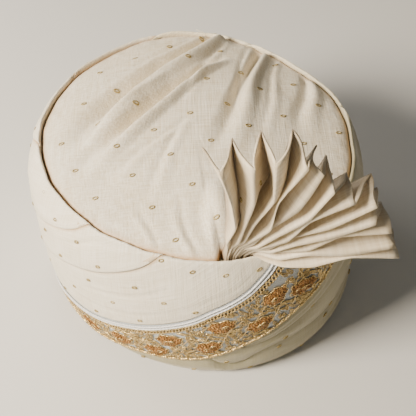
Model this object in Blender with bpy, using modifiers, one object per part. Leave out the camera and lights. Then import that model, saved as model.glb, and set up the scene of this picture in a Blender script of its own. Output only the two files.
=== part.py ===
# Tied turban: a wound wall with spiral wraps, a domed crown, an embroidered border
# and an upright pleated fan. Metres, +Z up, resting on its flat rim at z = 0.
# The side where the fan is rooted faces -Y.
#
# The wall is mapped by azimuth (degrees around the axis, -90 at the front, more
# negative towards the left) and climb (distance from the rim up the outer face, over
# the rounded top edge and down to the crown's seam). Depth is measured inwards from
# the outer face.

import math

import bmesh
import bpy
from mathutils import Vector

# Body
BODY_RADIUS = 0.128         # mean radius of the wall where it is widest
BODY_HEIGHT = 0.148         # rim to the top of the rounded upper edge
OVAL = 0.053                # plan: share by which the long axis stands out
OVAL_TURN = -40.7           # plan: azimuth of the long axis
EGG = 0.011                 # plan: share of the three-sided unevenness
EGG_TURN = -45.4
HEAD_LENGTH = 0.198         # head hollow, front to back
HEAD_WIDTH = 0.174          # head hollow, side to side

# Wraps
WRAP_COVER = 0.0036         # outer wraps over the wound core
SHINGLE_STEP = 0.0014       # how far a wrap sinks where the next one covers it
ROLL_GROOVE = 0.0022        # groove beside a rounded wrap
CLOTH_GAP = 0.0005          # clearance between neighbouring pieces
LIP_SLACK = 0.0005          # further play where the wraps turn over the core's edge
LIP_PLAY = 2.6              # how much wider the gaps between the wraps are there, in gaps
LIP_SMOOTH = 0.6            # how far steps and grooves flatten out there
NARROWEST = 0.3             # most of a wrap's width that its inner face gives up per side
RIM_CLEAR = 0.0005          # height of the wraps' lowest edge
SHORTEST_END = 0.0030       # width at which a wrap's pointed end stops

# Crown
CROWN_WALL = 0.0022
CROWN_RISE = 0.0225         # dome above its skirt
CROWN_SKIRT = 0.0026        # turned-down edge that stands on the core
CREASE_DEPTH = 0.0050       # the deepest crease of the crown
CREASE_HOLD = 0.25          # share of a crease's run before it begins to fade
CREASE_PINCH = 0.12         # how far a crease reaches back past its pinched end
CREASE_NARROW = 0.6         # width of a crease at its pinched end
DOME_ROUND = 2.3            # how flat the dome stays towards its middle
DOME_FALL = 0.8             # how steeply it falls at its edge
DOME_FREE = 0.05            # share of the radius over which creases start at the edge

# Fan
FAN_AZIMUTH = -76.5         # where its root is tucked in
FAN_LENGTH = 0.100          # free length of its pleats
FAN_LIFT = 0.0030           # its pivot above the upper edge
PLEAT_DEPTH = 0.022
FAN_CLOTH = 0.0016          # starched, doubled cloth
MOST_CLOTH = 0.75           # share of the pleats' depth that the cloth may fill
FAN_ROOT_WIDTH = 0.018
FAN_ROOT_DEPTH = 0.0064
FAN_ROOT_PLAY = 0.0050      # crown's clearance on each side of the root
FAN_FORWARD = 0.0065        # pleats stand this far in front of the root

# Border trims
PIPING_RADIUS = 0.0009
PIPING_SPACE = 0.0050       # between the two cords
ROPE_RADIUS = 0.0015
ROPE_SPACE = 0.0045         # from the lower cord to the upper rope
TRIM_CLEAR = 0.0004         # between the cords and the wall's outer face
TRIM_EDGE = 0.0022          # from the border's edges to the first trim
TRIM_TOP = 0.88             # where the trims run out under the fan, as a share of body height
FLOWER_LENGTH = 0.0210
FLOWER_WIDTH = 0.0115
FLOWER_HEIGHT = 0.0016
FLOWER_CLEAR = 0.0002       # between the flowers and the wall's outer face
PETAL_POINT = 0.3           # how much narrower a flower is towards its tip

# Divisions of the meshes
STATIONS = 54               # around the wall
CROWN_STATIONS = 46
CONTOUR_STEPS = 12          # fine steps in each stretch of the wall's contour
WELD = 1e-6
STATION_STEP = 360.0 / STATIONS

# Outer face of the wall, rim to seam: shares of body height and radius, then how far
# down and in from it the core lies, as multiples of the cover.
WALL = (
    # height, radius, down, in
    (0.000, 0.950, 0.00, 1.00),
    (0.030, 0.964, 0.00, 1.00),
    (0.130, 0.977, 0.00, 1.00),
    (0.330, 0.992, 0.00, 1.00),
    (0.600, 1.000, 0.00, 1.00),
    (0.800, 0.988, 0.10, 1.00),
    (0.905, 0.963, 0.46, 0.93),
    (0.955, 0.944, 1.93, 0.48),
    (0.988, 0.927, 2.95, 0.04),
    (1.000, 0.914, 3.19, -0.22),
    (0.988, 0.907, 2.53, -0.28),
    (0.953, 0.905, 0.98, -0.10),
)
# The wall moves in and out with the seam, more and more between these two rows.
MOVE_ROWS = (3, 8)
# Rows of the wall that the wound core and the wraps' inner faces follow.
CORE_ROWS = (0, 3, 4, 5, 6, 7, 9, 11)
# Rows that turn over the upper edge, which the wraps' outer faces follow.
TURN_ROWS = (6, 7, 8, 9)

# Radius of the seam round the crown, as a share of its mean.
SEAM = (
    # azimuth, share
    (-180.0, 0.995),
    (-150.0, 0.982),
    (-120.0, 1.000),
    (-95.0, 1.018),
    (-76.0, 1.026),
    (-48.0, 1.020),
    (-10.0, 1.002),
    (16.0, 1.020),
    (40.0, 0.974),
    (60.0, 0.974),
    (80.0, 0.990),
    (104.0, 1.024),
    (130.0, 0.998),
    (158.0, 0.986),
)

# Edges of the spiral wraps: climb as a share of body height. Each rises to the right.
EDGES = {
    "border_low": (
        # azimuth, climb
        (-140.0, 0.000), (-130.0, 0.034), (-120.0, 0.075), (-110.0, 0.105), (-100.0, 0.132),
        (-91.0, 0.158), (-84.0, 0.203), (-78.0, 0.257), (-70.0, 0.335), (-65.0, 0.400),
        (-60.0, 0.475), (-54.0, 0.556), (-50.0, 0.620), (-46.0, 0.700), (-38.0, 0.860),
        (-26.0, 1.120),
    ),
    "border_high": (
        (-192.0, 0.000), (-180.0, 0.055), (-165.0, 0.135), (-150.0, 0.210), (-140.0, 0.250),
        (-129.0, 0.298), (-120.0, 0.345), (-111.0, 0.395), (-102.0, 0.462), (-93.0, 0.550),
        (-87.0, 0.632), (-81.0, 0.705), (-76.0, 0.775), (-72.0, 0.845), (-68.0, 0.920),
        (-60.0, 1.120),
    ),
    "selvedge": (
        (-218.0, 0.000), (-205.0, 0.100), (-190.0, 0.225), (-175.0, 0.352), (-162.0, 0.462),
        (-150.0, 0.568), (-138.0, 0.662), (-130.0, 0.718), (-118.0, 0.820), (-107.0, 0.930),
        (-95.0, 1.120),
    ),
    "left_edge": (
        (-252.0, 0.000), (-235.0, 0.130), (-205.0, 0.385), (-175.0, 0.622), (-160.0, 0.742),
        (-148.0, 0.838), (-138.0, 0.925), (-124.0, 1.120),
    ),
    "back_edge_1": ((-294.0, 0.000), (-250.0, 0.370), (-205.0, 0.760), (-168.0, 1.120)),
    "back_edge_2": ((-336.0, 0.000), (-292.0, 0.365), (-247.0, 0.750), (-209.0, 1.120)),
    "right_edge": ((-14.0, 0.000), (25.0, 0.330), (70.0, 0.730), (113.0, 1.120)),
    "roll_low": (
        (-88.0, 0.175), (-84.0, 0.100), (-80.0, 0.068), (-76.0, 0.082), (-72.0, 0.140),
        (-66.0, 0.192), (-57.0, 0.212), (-49.0, 0.218), (-42.0, 0.232), (-34.0, 0.272),
        (-10.0, 0.450), (20.0, 0.680), (45.0, 0.880), (72.0, 1.120),
    ),
    "roll_high": (
        (-79.0, 0.247), (-74.0, 0.252), (-68.0, 0.272), (-60.0, 0.335), (-51.0, 0.430),
        (-43.0, 0.515), (-30.0, 0.625), (-15.0, 0.755), (0.0, 0.890), (20.0, 1.120),
    ),
}

# Pieces wound on the core: edges below and above, whole turns between their azimuths,
# and the form of the section.
WRAPS = (
    # name, edge below, turn, edge above, turn, starts at, section
    ("front_wrap", "border_high", 0, "selvedge", 0, -218.0, "shingle"),
    ("side_wrap_lower", "selvedge", 0, "left_edge", 0, -252.0, "shingle"),
    ("side_wrap_upper", "left_edge", 0, "back_edge_1", 0, -294.0, "shingle"),
    ("back_wrap_left", "back_edge_1", 0, "back_edge_2", 0, -336.0, "shingle"),
    ("back_wrap_right", "back_edge_2", 1, "right_edge", 0, -14.0, "shingle"),
    ("lower_wrap_1", "right_edge", 0, "roll_low", 0, -140.0, "roll"),
    ("lower_wrap_2", "roll_low", 0, "roll_high", 0, -88.0, "roll"),
    ("lower_wrap_3", "roll_high", 0, "border_low", 0, -79.0, "roll"),
    ("border_band", "border_low", 0, "border_high", 0, -192.0, "band"),
)
# Where an edge above starts later than its wrap, the wrap is bounded by this edge.
BOUND_BEFORE = {"roll_low": "border_low", "roll_high": "border_low"}

# Outer faces of the wraps, from the lower edge to the upper one: share of the width,
# and depth as a share of the step or groove.
SECTIONS = {
    "shingle": ((0.00, 0.55), (0.03, 0.00), (0.14, -0.25), (0.50, 0.00), (0.96, 0.70), (1.0, 1.0)),
    "roll": (
        (0.00, 1.00), (0.06, 0.50), (0.22, 0.05), (0.50, -0.15), (0.78, 0.05), (0.94, 0.50),
        (1.00, 1.00),
    ),
    "band": (
        (0.00, 0.60), (0.03, 0.20), (0.27, 0.20), (0.50, 0.20), (0.74, 0.20), (0.97, 0.20),
        (1.00, 0.60),
    ),
}

# Creases of the crown, as shares of its radius: from the pinched end to the end where
# the crease runs out, half its width, its depth, and the ridge on its right side.
CREASES = (
    # from x, from y, to x, to y, half width, depth, ridge
    (0.13, 0.97, -0.82, 0.02, 0.110, 1.00, 0.55),
    (-0.02, 0.36, -0.78, -0.30, 0.080, 0.55, 0.40),
    (-0.20, -0.16, -0.64, -0.48, 0.065, 0.26, 0.20),
    (-0.14, -0.24, -0.36, -0.70, 0.060, 0.24, 0.20),
    (0.55, 0.78, 0.10, -0.32, 0.090, 0.75, 0.50),
    (0.84, 0.44, 0.66, -0.16, 0.080, 0.50, 0.35),
)
# Bulge of crown cloth beside the fan's root, as shares of the crown's radius.
BULGE = {"x": 0.100, "y": -0.76, "half_length": 0.26, "half_width": 0.115, "height": 0.90}

# Folds of the fan from left to right: angle from level and length as a share.
FOLDS = (
    # angle, length
    (101.8, 0.96), (98.2, 1.00), (93.1, 0.94), (84.0, 0.95), (82.0, 1.01), (78.8, 1.07),
    (73.1, 1.05), (67.5, 1.02), (63.2, 0.98), (61.0, 0.95), (57.6, 0.94), (52.7, 0.88),
    (45.5, 0.91), (42.0, 0.89), (38.8, 1.00), (35.0, 0.96), (31.0, 0.97), (26.5, 0.90),
    (22.8, 0.96), (18.6, 0.98), (13.8, 0.95), (9.6, 0.98), (5.8, 1.00), (2.4, 1.01),
)
# Rows along each fold: reach and pleat depth as shares, how far the folds have spread,
# and how far they have come forward from the root.
FOLD_ROWS = (
    # reach, depth, spread, forward
    (0.10, 0.36, 0.78, 0.45),
    (0.22, 0.58, 0.81, 1.00),
    (0.42, 0.86, 0.83, 1.00),
    (0.68, 1.00, 0.86, 1.00),
    (1.00, 1.00, 1.00, 1.00),
)
FOLD_MIDDLE = 45.0          # angle about which the folds spread

# Flowers of the border: azimuth and climb of their middles, as a share of body height.
FLOWERS = (
    # azimuth, climb
    (-138.0, 0.105), (-122.0, 0.160), (-108.0, 0.195), (-101.0, 0.315), (-87.5, 0.310),
    (-83.0, 0.500), (-71.0, 0.485), (-66.5, 0.695), (-57.0, 0.690),
)

# Finishes: name, colour (red, green, blue), roughness, metallic.
FINISHES = {
    "cream_silk": ((0.78, 0.73, 0.62), 0.60, 0.0),
    "shaded_silk": ((0.70, 0.65, 0.53), 0.65, 0.0),
    "inner_cotton": ((0.62, 0.57, 0.47), 0.85, 0.0),
    "starched_silk": ((0.80, 0.74, 0.65), 0.55, 0.0),
    "border_net": ((0.52, 0.54, 0.56), 0.75, 0.0),
    "silver_cord": ((0.78, 0.79, 0.82), 0.45, 0.2),
    "gold_cord": ((0.68, 0.50, 0.20), 0.35, 0.8),
    "copper_thread": ((0.60, 0.33, 0.10), 0.45, 0.5),
}


# Smooth curves through the tables
def through(table, place):
    """All later columns of a table at one place in its first column, without overshoot."""
    if place <= table[0][0]:
        return table[0][1:]
    if place >= table[-1][0]:
        return table[-1][1:]
    index = max(i for i, row in enumerate(table[:-1]) if row[0] <= place)
    start, end = table[index], table[index + 1]
    run = end[0] - start[0]
    t = (place - start[0]) / run
    values = []
    for column in range(1, len(start)):
        rise = (end[column] - start[column]) / run
        slopes = [rise, rise]
        for side, (first, last) in enumerate(((index - 1, index), (index + 1, index + 2))):
            if first >= 0 and last < len(table):
                other = (table[last][column] - table[first][column]) / (table[last][0] - table[first][0])
                slopes[side] = 2 * rise * other / (rise + other) if rise * other > 0 else 0.0
        values.append(
            start[column] * (1 + 2 * t) * (1 - t) ** 2
            + end[column] * t * t * (3 - 2 * t)
            + run * t * (1 - t) * ((1 - t) * slopes[0] - t * slopes[1])
        )
    return values


def bell(value):
    """One at nought, falling smoothly to nothing at one."""
    return (1 - min(abs(value), 1.0) ** 2) ** 2


# The wall
def plan(azimuth):
    return (1 + OVAL * math.cos(math.radians(2 * (azimuth - OVAL_TURN)))
            + EGG * math.cos(math.radians(3 * (azimuth - EGG_TURN))))


def seam_move(azimuth):
    """How far the seam and the lip stand outside their mean radius."""
    turned = (azimuth + 180.0) % 360.0 - 180.0
    rows = SEAM + ((SEAM[0][0] + 360.0, SEAM[0][1]),)
    return (through(rows, turned)[0] - 1) * BODY_RADIUS * WALL[-1][1]


def wall_contour():
    """Fine rows of the wall: climb, height, radius, core's place down and in, lip share."""
    table = [(float(index),) + row for index, row in enumerate(WALL)]
    rows = []
    climb = 0.0
    for step in range((len(WALL) - 1) * CONTOUR_STEPS + 1):
        place = step / CONTOUR_STEPS
        height, radius, down, inward = through(table, place)
        height *= BODY_HEIGHT
        radius *= BODY_RADIUS
        if rows:
            climb += math.hypot(height - rows[-1][1], radius - rows[-1][2])
        follow = (place - MOVE_ROWS[0]) / (MOVE_ROWS[1] - MOVE_ROWS[0])
        follow = min(max(follow, 0.0), 1.0)
        rows.append((climb, height, radius, down * WRAP_COVER, inward * WRAP_COVER, follow))
    return rows


CONTOUR = wall_contour()
FULL_CLIMB = CONTOUR[-1][0]
CORE_TOP = CONTOUR[-1][1] - CONTOUR[-1][3]
CORE_CLIMBS = [CONTOUR[index * CONTOUR_STEPS][0] for index in CORE_ROWS]
TURN_CLIMBS = [CONTOUR[index * CONTOUR_STEPS][0] for index in TURN_ROWS]


def contour_at(climb):
    """Height, radius, core's place down and in, and lip share at a climb."""
    climb = min(max(climb, 0.0), FULL_CLIMB)
    index = max(i for i, row in enumerate(CONTOUR[:-1]) if row[0] <= climb)
    start, end = CONTOUR[index], CONTOUR[index + 1]
    t = (climb - start[0]) / (end[0] - start[0])
    return [a + (b - a) * t for a, b in zip(start[1:], end[1:])]


def polar(azimuth, radius, height):
    angle = math.radians(azimuth)
    return Vector((radius * math.cos(angle), radius * math.sin(angle), height))


def wall_point(azimuth, climb, depth):
    """A point of the wall, at a depth below its outer face."""
    height, radius, down, inward, follow = contour_at(climb)
    share = depth / math.hypot(down, inward)
    radius = (radius - share * inward) * plan(azimuth) + follow * seam_move(azimuth)
    return polar(azimuth, radius, height - share * down)


def core_depth(climb):
    return math.hypot(*contour_at(climb)[2:4])


def under(climb):
    """How nearly the core lies under the outer face rather than beside it, up to one."""
    return contour_at(climb)[2] / core_depth(climb)


def core_point(azimuth, climb):
    """A point of the bed, drawn in a little where the wraps turn over its edge."""
    point = wall_point(azimuth, climb, core_depth(climb))
    return point - polar(azimuth, LIP_SLACK * contour_at(climb)[4], 0.0)


def seam_radius(azimuth):
    return CONTOUR[-1][2] * plan(azimuth) + seam_move(azimuth)


def head_radius(azimuth):
    angle = math.radians(azimuth)
    long, wide = HEAD_LENGTH / 2, HEAD_WIDTH / 2
    return long * wide / math.hypot(long * math.cos(angle), wide * math.sin(angle))


# Making objects
def make_material(name):
    colour, roughness, metallic = FINISHES[name]
    material = bpy.data.materials.new(name)
    material.use_nodes = True
    shader = material.node_tree.nodes["Principled BSDF"]
    shader.inputs["Base Color"].default_value = (*colour, 1.0)
    shader.inputs["Roughness"].default_value = roughness
    shader.inputs["Metallic"].default_value = metallic
    material.diffuse_color = (*colour, 1.0)
    return material


def add_object(name, data, finish):
    data.materials.append(MATERIALS[finish])
    item = bpy.data.objects.new(name, data)
    PARTS.objects.link(item)
    item.parent = STAND
    return item


def bent_grid(name, columns, rows, place, finish, closed=True):
    """A grid laid out by a function, its meeting edges welded and its ends filled."""
    shape = bmesh.new()
    bmesh.ops.create_grid(shape, x_segments=columns, y_segments=rows, size=1.0)
    for vertex in shape.verts:
        column = round((vertex.co.x + 1) / 2 * columns)
        row = round((vertex.co.y + 1) / 2 * rows)
        vertex.co = place(column, row)
    bmesh.ops.remove_doubles(shape, verts=shape.verts[:], dist=WELD)
    if closed:
        ends = [edge for edge in shape.edges if edge.is_boundary]
        bmesh.ops.holes_fill(shape, edges=ends, sides=0)
        bmesh.ops.triangulate(shape, faces=shape.faces[:], quad_method="SHORT_EDGE")
    bmesh.ops.recalc_face_normals(shape, faces=shape.faces[:])
    mesh = bpy.data.meshes.new(name)
    shape.to_mesh(mesh)
    shape.free()
    mesh.shade_smooth()
    mesh.set_sharp_from_angle(angle=math.radians(40))
    return add_object(name, mesh, finish)


def lofted(name, sections, finish, ring=False):
    """A solid through closed sections with the same number of points."""
    points = len(sections[0])
    columns = len(sections) if ring else len(sections) - 1
    return bent_grid(name, columns, points,
                     lambda column, row: sections[column % len(sections)][row % points], finish)


def cord(name, points, radius, finish):
    """A round cord through points, with filled ends."""
    curve = bpy.data.curves.new(name, "CURVE")
    curve.dimensions = "3D"
    curve.bevel_depth = radius
    curve.bevel_resolution = 1
    curve.use_fill_caps = True
    line = curve.splines.new("POLY")
    line.points.add(len(points) - 1)
    for point, place in zip(line.points, points):
        point.co = (*place, 1.0)
    return add_object(name, curve, finish)


# Edges of the wraps
def smooth_climb(edge, azimuth):
    table = EDGES[edge]
    if edge in BOUND_BEFORE and azimuth < table[0][0]:
        return smooth_climb(BOUND_BEFORE[edge], azimuth)
    return through(table, azimuth)[0] * BODY_HEIGHT


def raw_climb(edge, azimuth):
    """Climb of an edge, straight between the common stations so that neighbours agree."""
    before = math.floor(azimuth / STATION_STEP) * STATION_STEP
    t = (azimuth - before) / STATION_STEP
    return (smooth_climb(edge, before) * (1 - t)
            + smooth_climb(edge, before + STATION_STEP) * t)


def edge_climb(edge, azimuth):
    return min(max(raw_climb(edge, azimuth), RIM_CLEAR), FULL_CLIMB)


def crossing(edge, climb):
    """Azimuth at which an edge reaches a climb."""
    low, high = EDGES[edge][0][0] - STATION_STEP, EDGES[edge][-1][0] + STATION_STEP
    for _ in range(40):
        middle = (low + high) / 2
        if raw_climb(edge, middle) < climb:
            low = middle
        else:
            high = middle
    return (low + high) / 2


def wrap_stations(below, below_turn, above, above_turn, start):
    """Azimuths of a wrap's sections: the common stations, its ends and its corners."""
    def width(azimuth):
        return (edge_climb(above, azimuth - 360 * above_turn)
                - edge_climb(below, azimuth - 360 * below_turn))
    end = crossing(below, FULL_CLIMB) + 360 * below_turn
    start -= STATION_STEP
    fine = [start + (end - start) * i / 800 for i in range(801)]
    wide = [azimuth for azimuth in fine if width(azimuth) > SHORTEST_END]
    first, last = wide[0], wide[-1]
    grid = [STATION_STEP * i for i in range(-STATIONS, STATIONS + 1)]
    turning = [RIM_CLEAR, RIM_CLEAR + SHORTEST_END, *TURN_CLIMBS,
               FULL_CLIMB - SHORTEST_END, FULL_CLIMB]
    corners = [crossing(edge, climb) + 360 * turn
               for edge, turn in ((below, below_turn), (above, above_turn))
               for climb in turning]
    stations = [first, last]
    for azimuth in grid + corners:
        near = min(abs(azimuth - other) for other in stations)
        if first < azimuth < last and near > STATION_STEP / 30:
            stations.append(azimuth)
    return sorted(stations)


def wrap_section(azimuth, low, high, form):
    """Closed section of a wrap: its outer face upwards, then its inner face downwards."""
    low_gap = CLOTH_GAP * (1 + LIP_PLAY * under(low))
    high_gap = CLOTH_GAP * (1 + LIP_PLAY * under(high))
    low += low_gap / 2
    high -= high_gap / 2
    step = ROLL_GROOVE if form == "roll" else SHINGLE_STEP
    step *= min(1.0, (high - low) / (8 * step))
    outer = []
    inner = []
    shares = [row[0] for row in SECTIONS[form]]
    shares += [min(max((climb - low) / (high - low), shares[1]), shares[-2]) for climb in TURN_CLIMBS]
    for share in sorted(shares):
        climb = low + (high - low) * share
        depth = through(SECTIONS[form], share)[0] * step * (1 - LIP_SMOOTH * under(climb))
        outer.append(wall_point(azimuth, climb, depth))
    most = (high - low) * NARROWEST
    low += min(low_gap, most)
    high -= min(high_gap, most)
    for climb in (high, *reversed(CORE_CLIMBS[1:-1]), low):
        climb = min(max(climb, low), high)
        inner.append(wall_point(azimuth, climb, core_depth(climb) - CLOTH_GAP))
    return outer + inner


def make_wraps():
    for name, below, below_turn, above, above_turn, start, form in WRAPS:
        sections = []
        for azimuth in wrap_stations(below, below_turn, above, above_turn, start):
            low = edge_climb(below, azimuth - 360 * below_turn)
            high = edge_climb(above, azimuth - 360 * above_turn)
            sections.append(wrap_section(azimuth, low, high, form))
        finish = {"band": "border_net", "roll": "shaded_silk"}.get(form, "cream_silk")
        lofted(name, sections, finish)


# The wound core with the head hollow
def make_core():
    sections = []
    for station in range(STATIONS):
        azimuth = STATION_STEP * station
        section = [core_point(azimuth, climb) for climb in CORE_CLIMBS]
        section += [polar(azimuth, head_radius(azimuth), CORE_TOP),
                    polar(azimuth, head_radius(azimuth), 0.0)]
        sections.append(section)
    lofted("inner_wraps", sections, "inner_cotton", ring=True)


# The crown
def crease_height(x, y):
    """Creases and the bulge at a place given as shares of the crown's radius."""
    height = 0.0
    for x1, y1, x2, y2, half_width, depth, ridge in CREASES:
        run = math.hypot(x2 - x1, y2 - y1)
        along = ((x - x1) * (x2 - x1) + (y - y1) * (y2 - y1)) / run
        across = ((x - x1) * (y2 - y1) - (y - y1) * (x2 - x1)) / run
        fade = bell(max(along / run - CREASE_HOLD, 0.0) / (1.1 - CREASE_HOLD))
        fade *= bell(min(along, 0.0) / CREASE_PINCH)
        widen = half_width * CREASE_NARROW * (1 + min(max(along / run, 0.0), 1.0))
        height -= depth * fade * bell(across / widen)
        height += ridge * fade * bell(across / widen + 1.0)
    far = ((x - BULGE["x"]) / BULGE["half_width"]) ** 2 + ((y - BULGE["y"]) / BULGE["half_length"]) ** 2
    return CREASE_DEPTH * (height + BULGE["height"] * bell(math.sqrt(far)))


def rim_radius(azimuth):
    """Edge of the crown, drawn in where the fan's root stands."""
    edge = seam_radius(azimuth) - 2 * CLOTH_GAP
    turned = (azimuth - FAN_AZIMUTH + 180.0) % 360.0 - 180.0
    beside = math.radians(abs(turned)) * edge - FAN_ROOT_WIDTH / 2 - FAN_ROOT_PLAY
    draw = 1 - min(max(beside / FAN_ROOT_WIDTH, 0.0), 1.0)
    return edge - (FAN_ROOT_DEPTH + 3 * CLOTH_GAP) * draw * draw * (3 - 2 * draw)


def crown_point(azimuth, share, skirt):
    """A point of the crown; the skirt is nought at its foot and one above it."""
    radius = share * rim_radius(azimuth)
    angle = math.radians(azimuth)
    dome = (1 - share ** DOME_ROUND) ** DOME_FALL
    free = min((1 - share) / DOME_FREE, 1.0)
    height = CORE_TOP + CLOTH_GAP + CROWN_SKIRT * skirt + CROWN_RISE * dome
    height += free * crease_height(share * math.cos(angle), share * math.sin(angle))
    return polar(azimuth, radius, height)


def make_crown():
    shares = (0.0, 0.14, 0.28, 0.42, 0.55, 0.67, 0.78, 0.88, 0.95, 1.0, 1.0)
    foot = len(shares) - 1
    crown = bent_grid(
        "crown_cloth", CROWN_STATIONS, foot,
        lambda column, row: crown_point(
            360.0 * (column % CROWN_STATIONS) / CROWN_STATIONS, shares[row], 0.0 if row == foot else 1.0),
        "cream_silk", closed=False)
    wall = crown.modifiers.new("wall", "SOLIDIFY")
    wall.thickness = CROWN_WALL
    wall.offset = -1.0


# The fan
def fold_point(index, row):
    """Where a fold's line is in a row, at mid depth; the first two rows are the root."""
    angle_end, length = FOLDS[index]
    side = (index / (len(FOLDS) - 1) - 0.5) * FAN_ROOT_WIDTH
    root_azimuth = FAN_AZIMUTH + math.degrees(side / BODY_RADIUS)
    stand = seam_radius(root_azimuth) - 2 * CLOTH_GAP - FAN_ROOT_DEPTH / 2
    pivot_height = BODY_HEIGHT + FAN_LIFT
    if row == 0:
        return polar(root_azimuth, stand, CORE_TOP + CLOTH_GAP)
    if row == 1:
        return polar(root_azimuth, stand, pivot_height)
    reach, _, spread, forward = FOLD_ROWS[row - 2]
    angle = math.radians(FOLD_MIDDLE + (angle_end - FOLD_MIDDLE) * spread)
    pivot = polar(FAN_AZIMUTH, stand, pivot_height)
    root = polar(root_azimuth, stand, pivot_height)
    run = reach * length * FAN_LENGTH
    place = pivot + (root - pivot) * (1 - reach)
    place += Vector((run * math.cos(angle), -FAN_FORWARD * forward, run * math.sin(angle)))
    place.y += (pivot.y - root.y) * (1 - reach) * forward
    return place


def fold_pair(index, row):
    """Front and back points of a fold: the pleats' depth in front of and behind its line."""
    centre = fold_point(index, row)
    if row < 2:
        outward = Vector((centre.x, centre.y, 0.0)).normalized() * FAN_ROOT_DEPTH / 2
        return centre + outward, centre - outward
    depth = max(FOLD_ROWS[row - 2][1] * PLEAT_DEPTH, FAN_ROOT_DEPTH)
    beside = [fold_point(other, row) for other in (index - 1, index + 1) if 0 <= other < len(FOLDS)]
    space = sum((place - centre).length for place in beside) / len(beside)
    thick = min(FAN_CLOTH * math.hypot(depth, space) / space, MOST_CLOTH * depth)
    swing = (depth - thick) / 2 * (1 if index % 2 else -1)
    middle = centre - Vector((0.0, swing, 0.0))
    half = Vector((0.0, thick / 2, 0.0))
    return middle - half, middle + half


def make_fan():
    rows = len(FOLD_ROWS) + 2
    sections = []
    for index in range(len(FOLDS)):
        pairs = [fold_pair(index, row) for row in range(rows)]
        sections.append([front for front, _ in pairs] + [back for _, back in reversed(pairs)])
    lofted("fan", sections, "starched_silk")


# Trims of the border
def border_azimuths():
    """Azimuths along the border, a little inside its ends."""
    first = crossing("border_high", 0.12 * BODY_HEIGHT)
    last = crossing("border_low", TRIM_TOP * BODY_HEIGHT)
    return [STATION_STEP * i
            for i in range(math.ceil(first / STATION_STEP), math.floor(last / STATION_STEP) + 1)]


def border_climb(azimuth, below_high):
    """Climb at a distance below the border's upper edge, measured square to the edge."""
    here = raw_climb("border_high", azimuth)
    rise = raw_climb("border_high", azimuth + 0.5) - raw_climb("border_high", azimuth - 0.5)
    slope = rise / (math.radians(1.0) * BODY_RADIUS)
    return here - below_high * math.hypot(1.0, slope)


def trim_line(climb_of, radius):
    """Points of a trim that lies on the border, where it is clear of its edges."""
    points = []
    for azimuth in border_azimuths():
        climb = climb_of(azimuth)
        if radius * 2 < climb < TRIM_TOP * BODY_HEIGHT:
            points.append(wall_point(azimuth, climb, -radius - TRIM_CLEAR))
    return points


def make_trims():
    high_cord = TRIM_EDGE
    low_cord = high_cord + PIPING_SPACE
    rope = low_cord + ROPE_SPACE
    cord("border_piping_upper", trim_line(lambda a: border_climb(a, high_cord), PIPING_RADIUS),
         PIPING_RADIUS, "silver_cord")
    cord("border_piping_lower", trim_line(lambda a: border_climb(a, low_cord), PIPING_RADIUS),
         PIPING_RADIUS, "silver_cord")
    cord("border_rope_upper", trim_line(lambda a: border_climb(a, rope), ROPE_RADIUS),
         ROPE_RADIUS, "gold_cord")
    cord("border_rope_lower",
         trim_line(lambda a: raw_climb("border_low", a) + TRIM_EDGE + PIPING_RADIUS, ROPE_RADIUS),
         ROPE_RADIUS, "gold_cord")


def make_flowers():
    sides = 8
    rings = ((0.0, 0.0), (1.0, 0.0), (0.86, 0.65), (0.45, 1.0), (0.0, 1.0))
    for count, (azimuth, share) in enumerate(FLOWERS, 1):
        reach = math.radians(1.0) * BODY_RADIUS * plan(azimuth)
        rise = raw_climb("border_high", azimuth + 0.5) - raw_climb("border_high", azimuth - 0.5)
        tilt = math.atan2(rise, reach)

        def place(column, row, azimuth=azimuth, climb=share * BODY_HEIGHT, reach=reach, tilt=tilt):
            size, height = rings[row]
            turn = 2 * math.pi * (column % sides) / sides
            along = size * math.cos(turn) * FLOWER_LENGTH / 2
            across = size * math.sin(turn) * FLOWER_WIDTH / 2 * (1 - PETAL_POINT * math.cos(turn))
            east = along * math.cos(tilt) - across * math.sin(tilt)
            north = along * math.sin(tilt) + across * math.cos(tilt)
            depth = -FLOWER_CLEAR - height * FLOWER_HEIGHT
            return wall_point(azimuth + east / reach, climb + north, depth)

        bent_grid(f"flower_{count:02d}", sides, len(rings) - 1, place, "copper_thread")


def centre_on_floor():
    """Moves the stand so that the whole turban's box is centred over the origin."""
    bpy.context.view_layer.update()
    graph = bpy.context.evaluated_depsgraph_get()
    corners = []
    for item in PARTS.objects:
        if item.type != "EMPTY":
            shape = item.evaluated_get(graph)
            corners += [vertex.co.copy() for vertex in shape.to_mesh().vertices]
            shape.to_mesh_clear()
    for axis in (0, 1):
        places = [corner[axis] for corner in corners]
        STAND.location[axis] = -(min(places) + max(places)) / 2


for old in list(bpy.data.objects):
    bpy.data.objects.remove(old, do_unlink=True)

PARTS = bpy.data.collections.new("tied_turban")
bpy.context.scene.collection.children.link(PARTS)
STAND = bpy.data.objects.new("stand_point", None)
PARTS.objects.link(STAND)
MATERIALS = {name: make_material(name) for name in FINISHES}

make_core()
make_wraps()
make_crown()
make_fan()
make_trims()
make_flowers()
centre_on_floor()
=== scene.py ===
import math

import bmesh
import bpy
import numpy as np
from mathutils import Matrix


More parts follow.
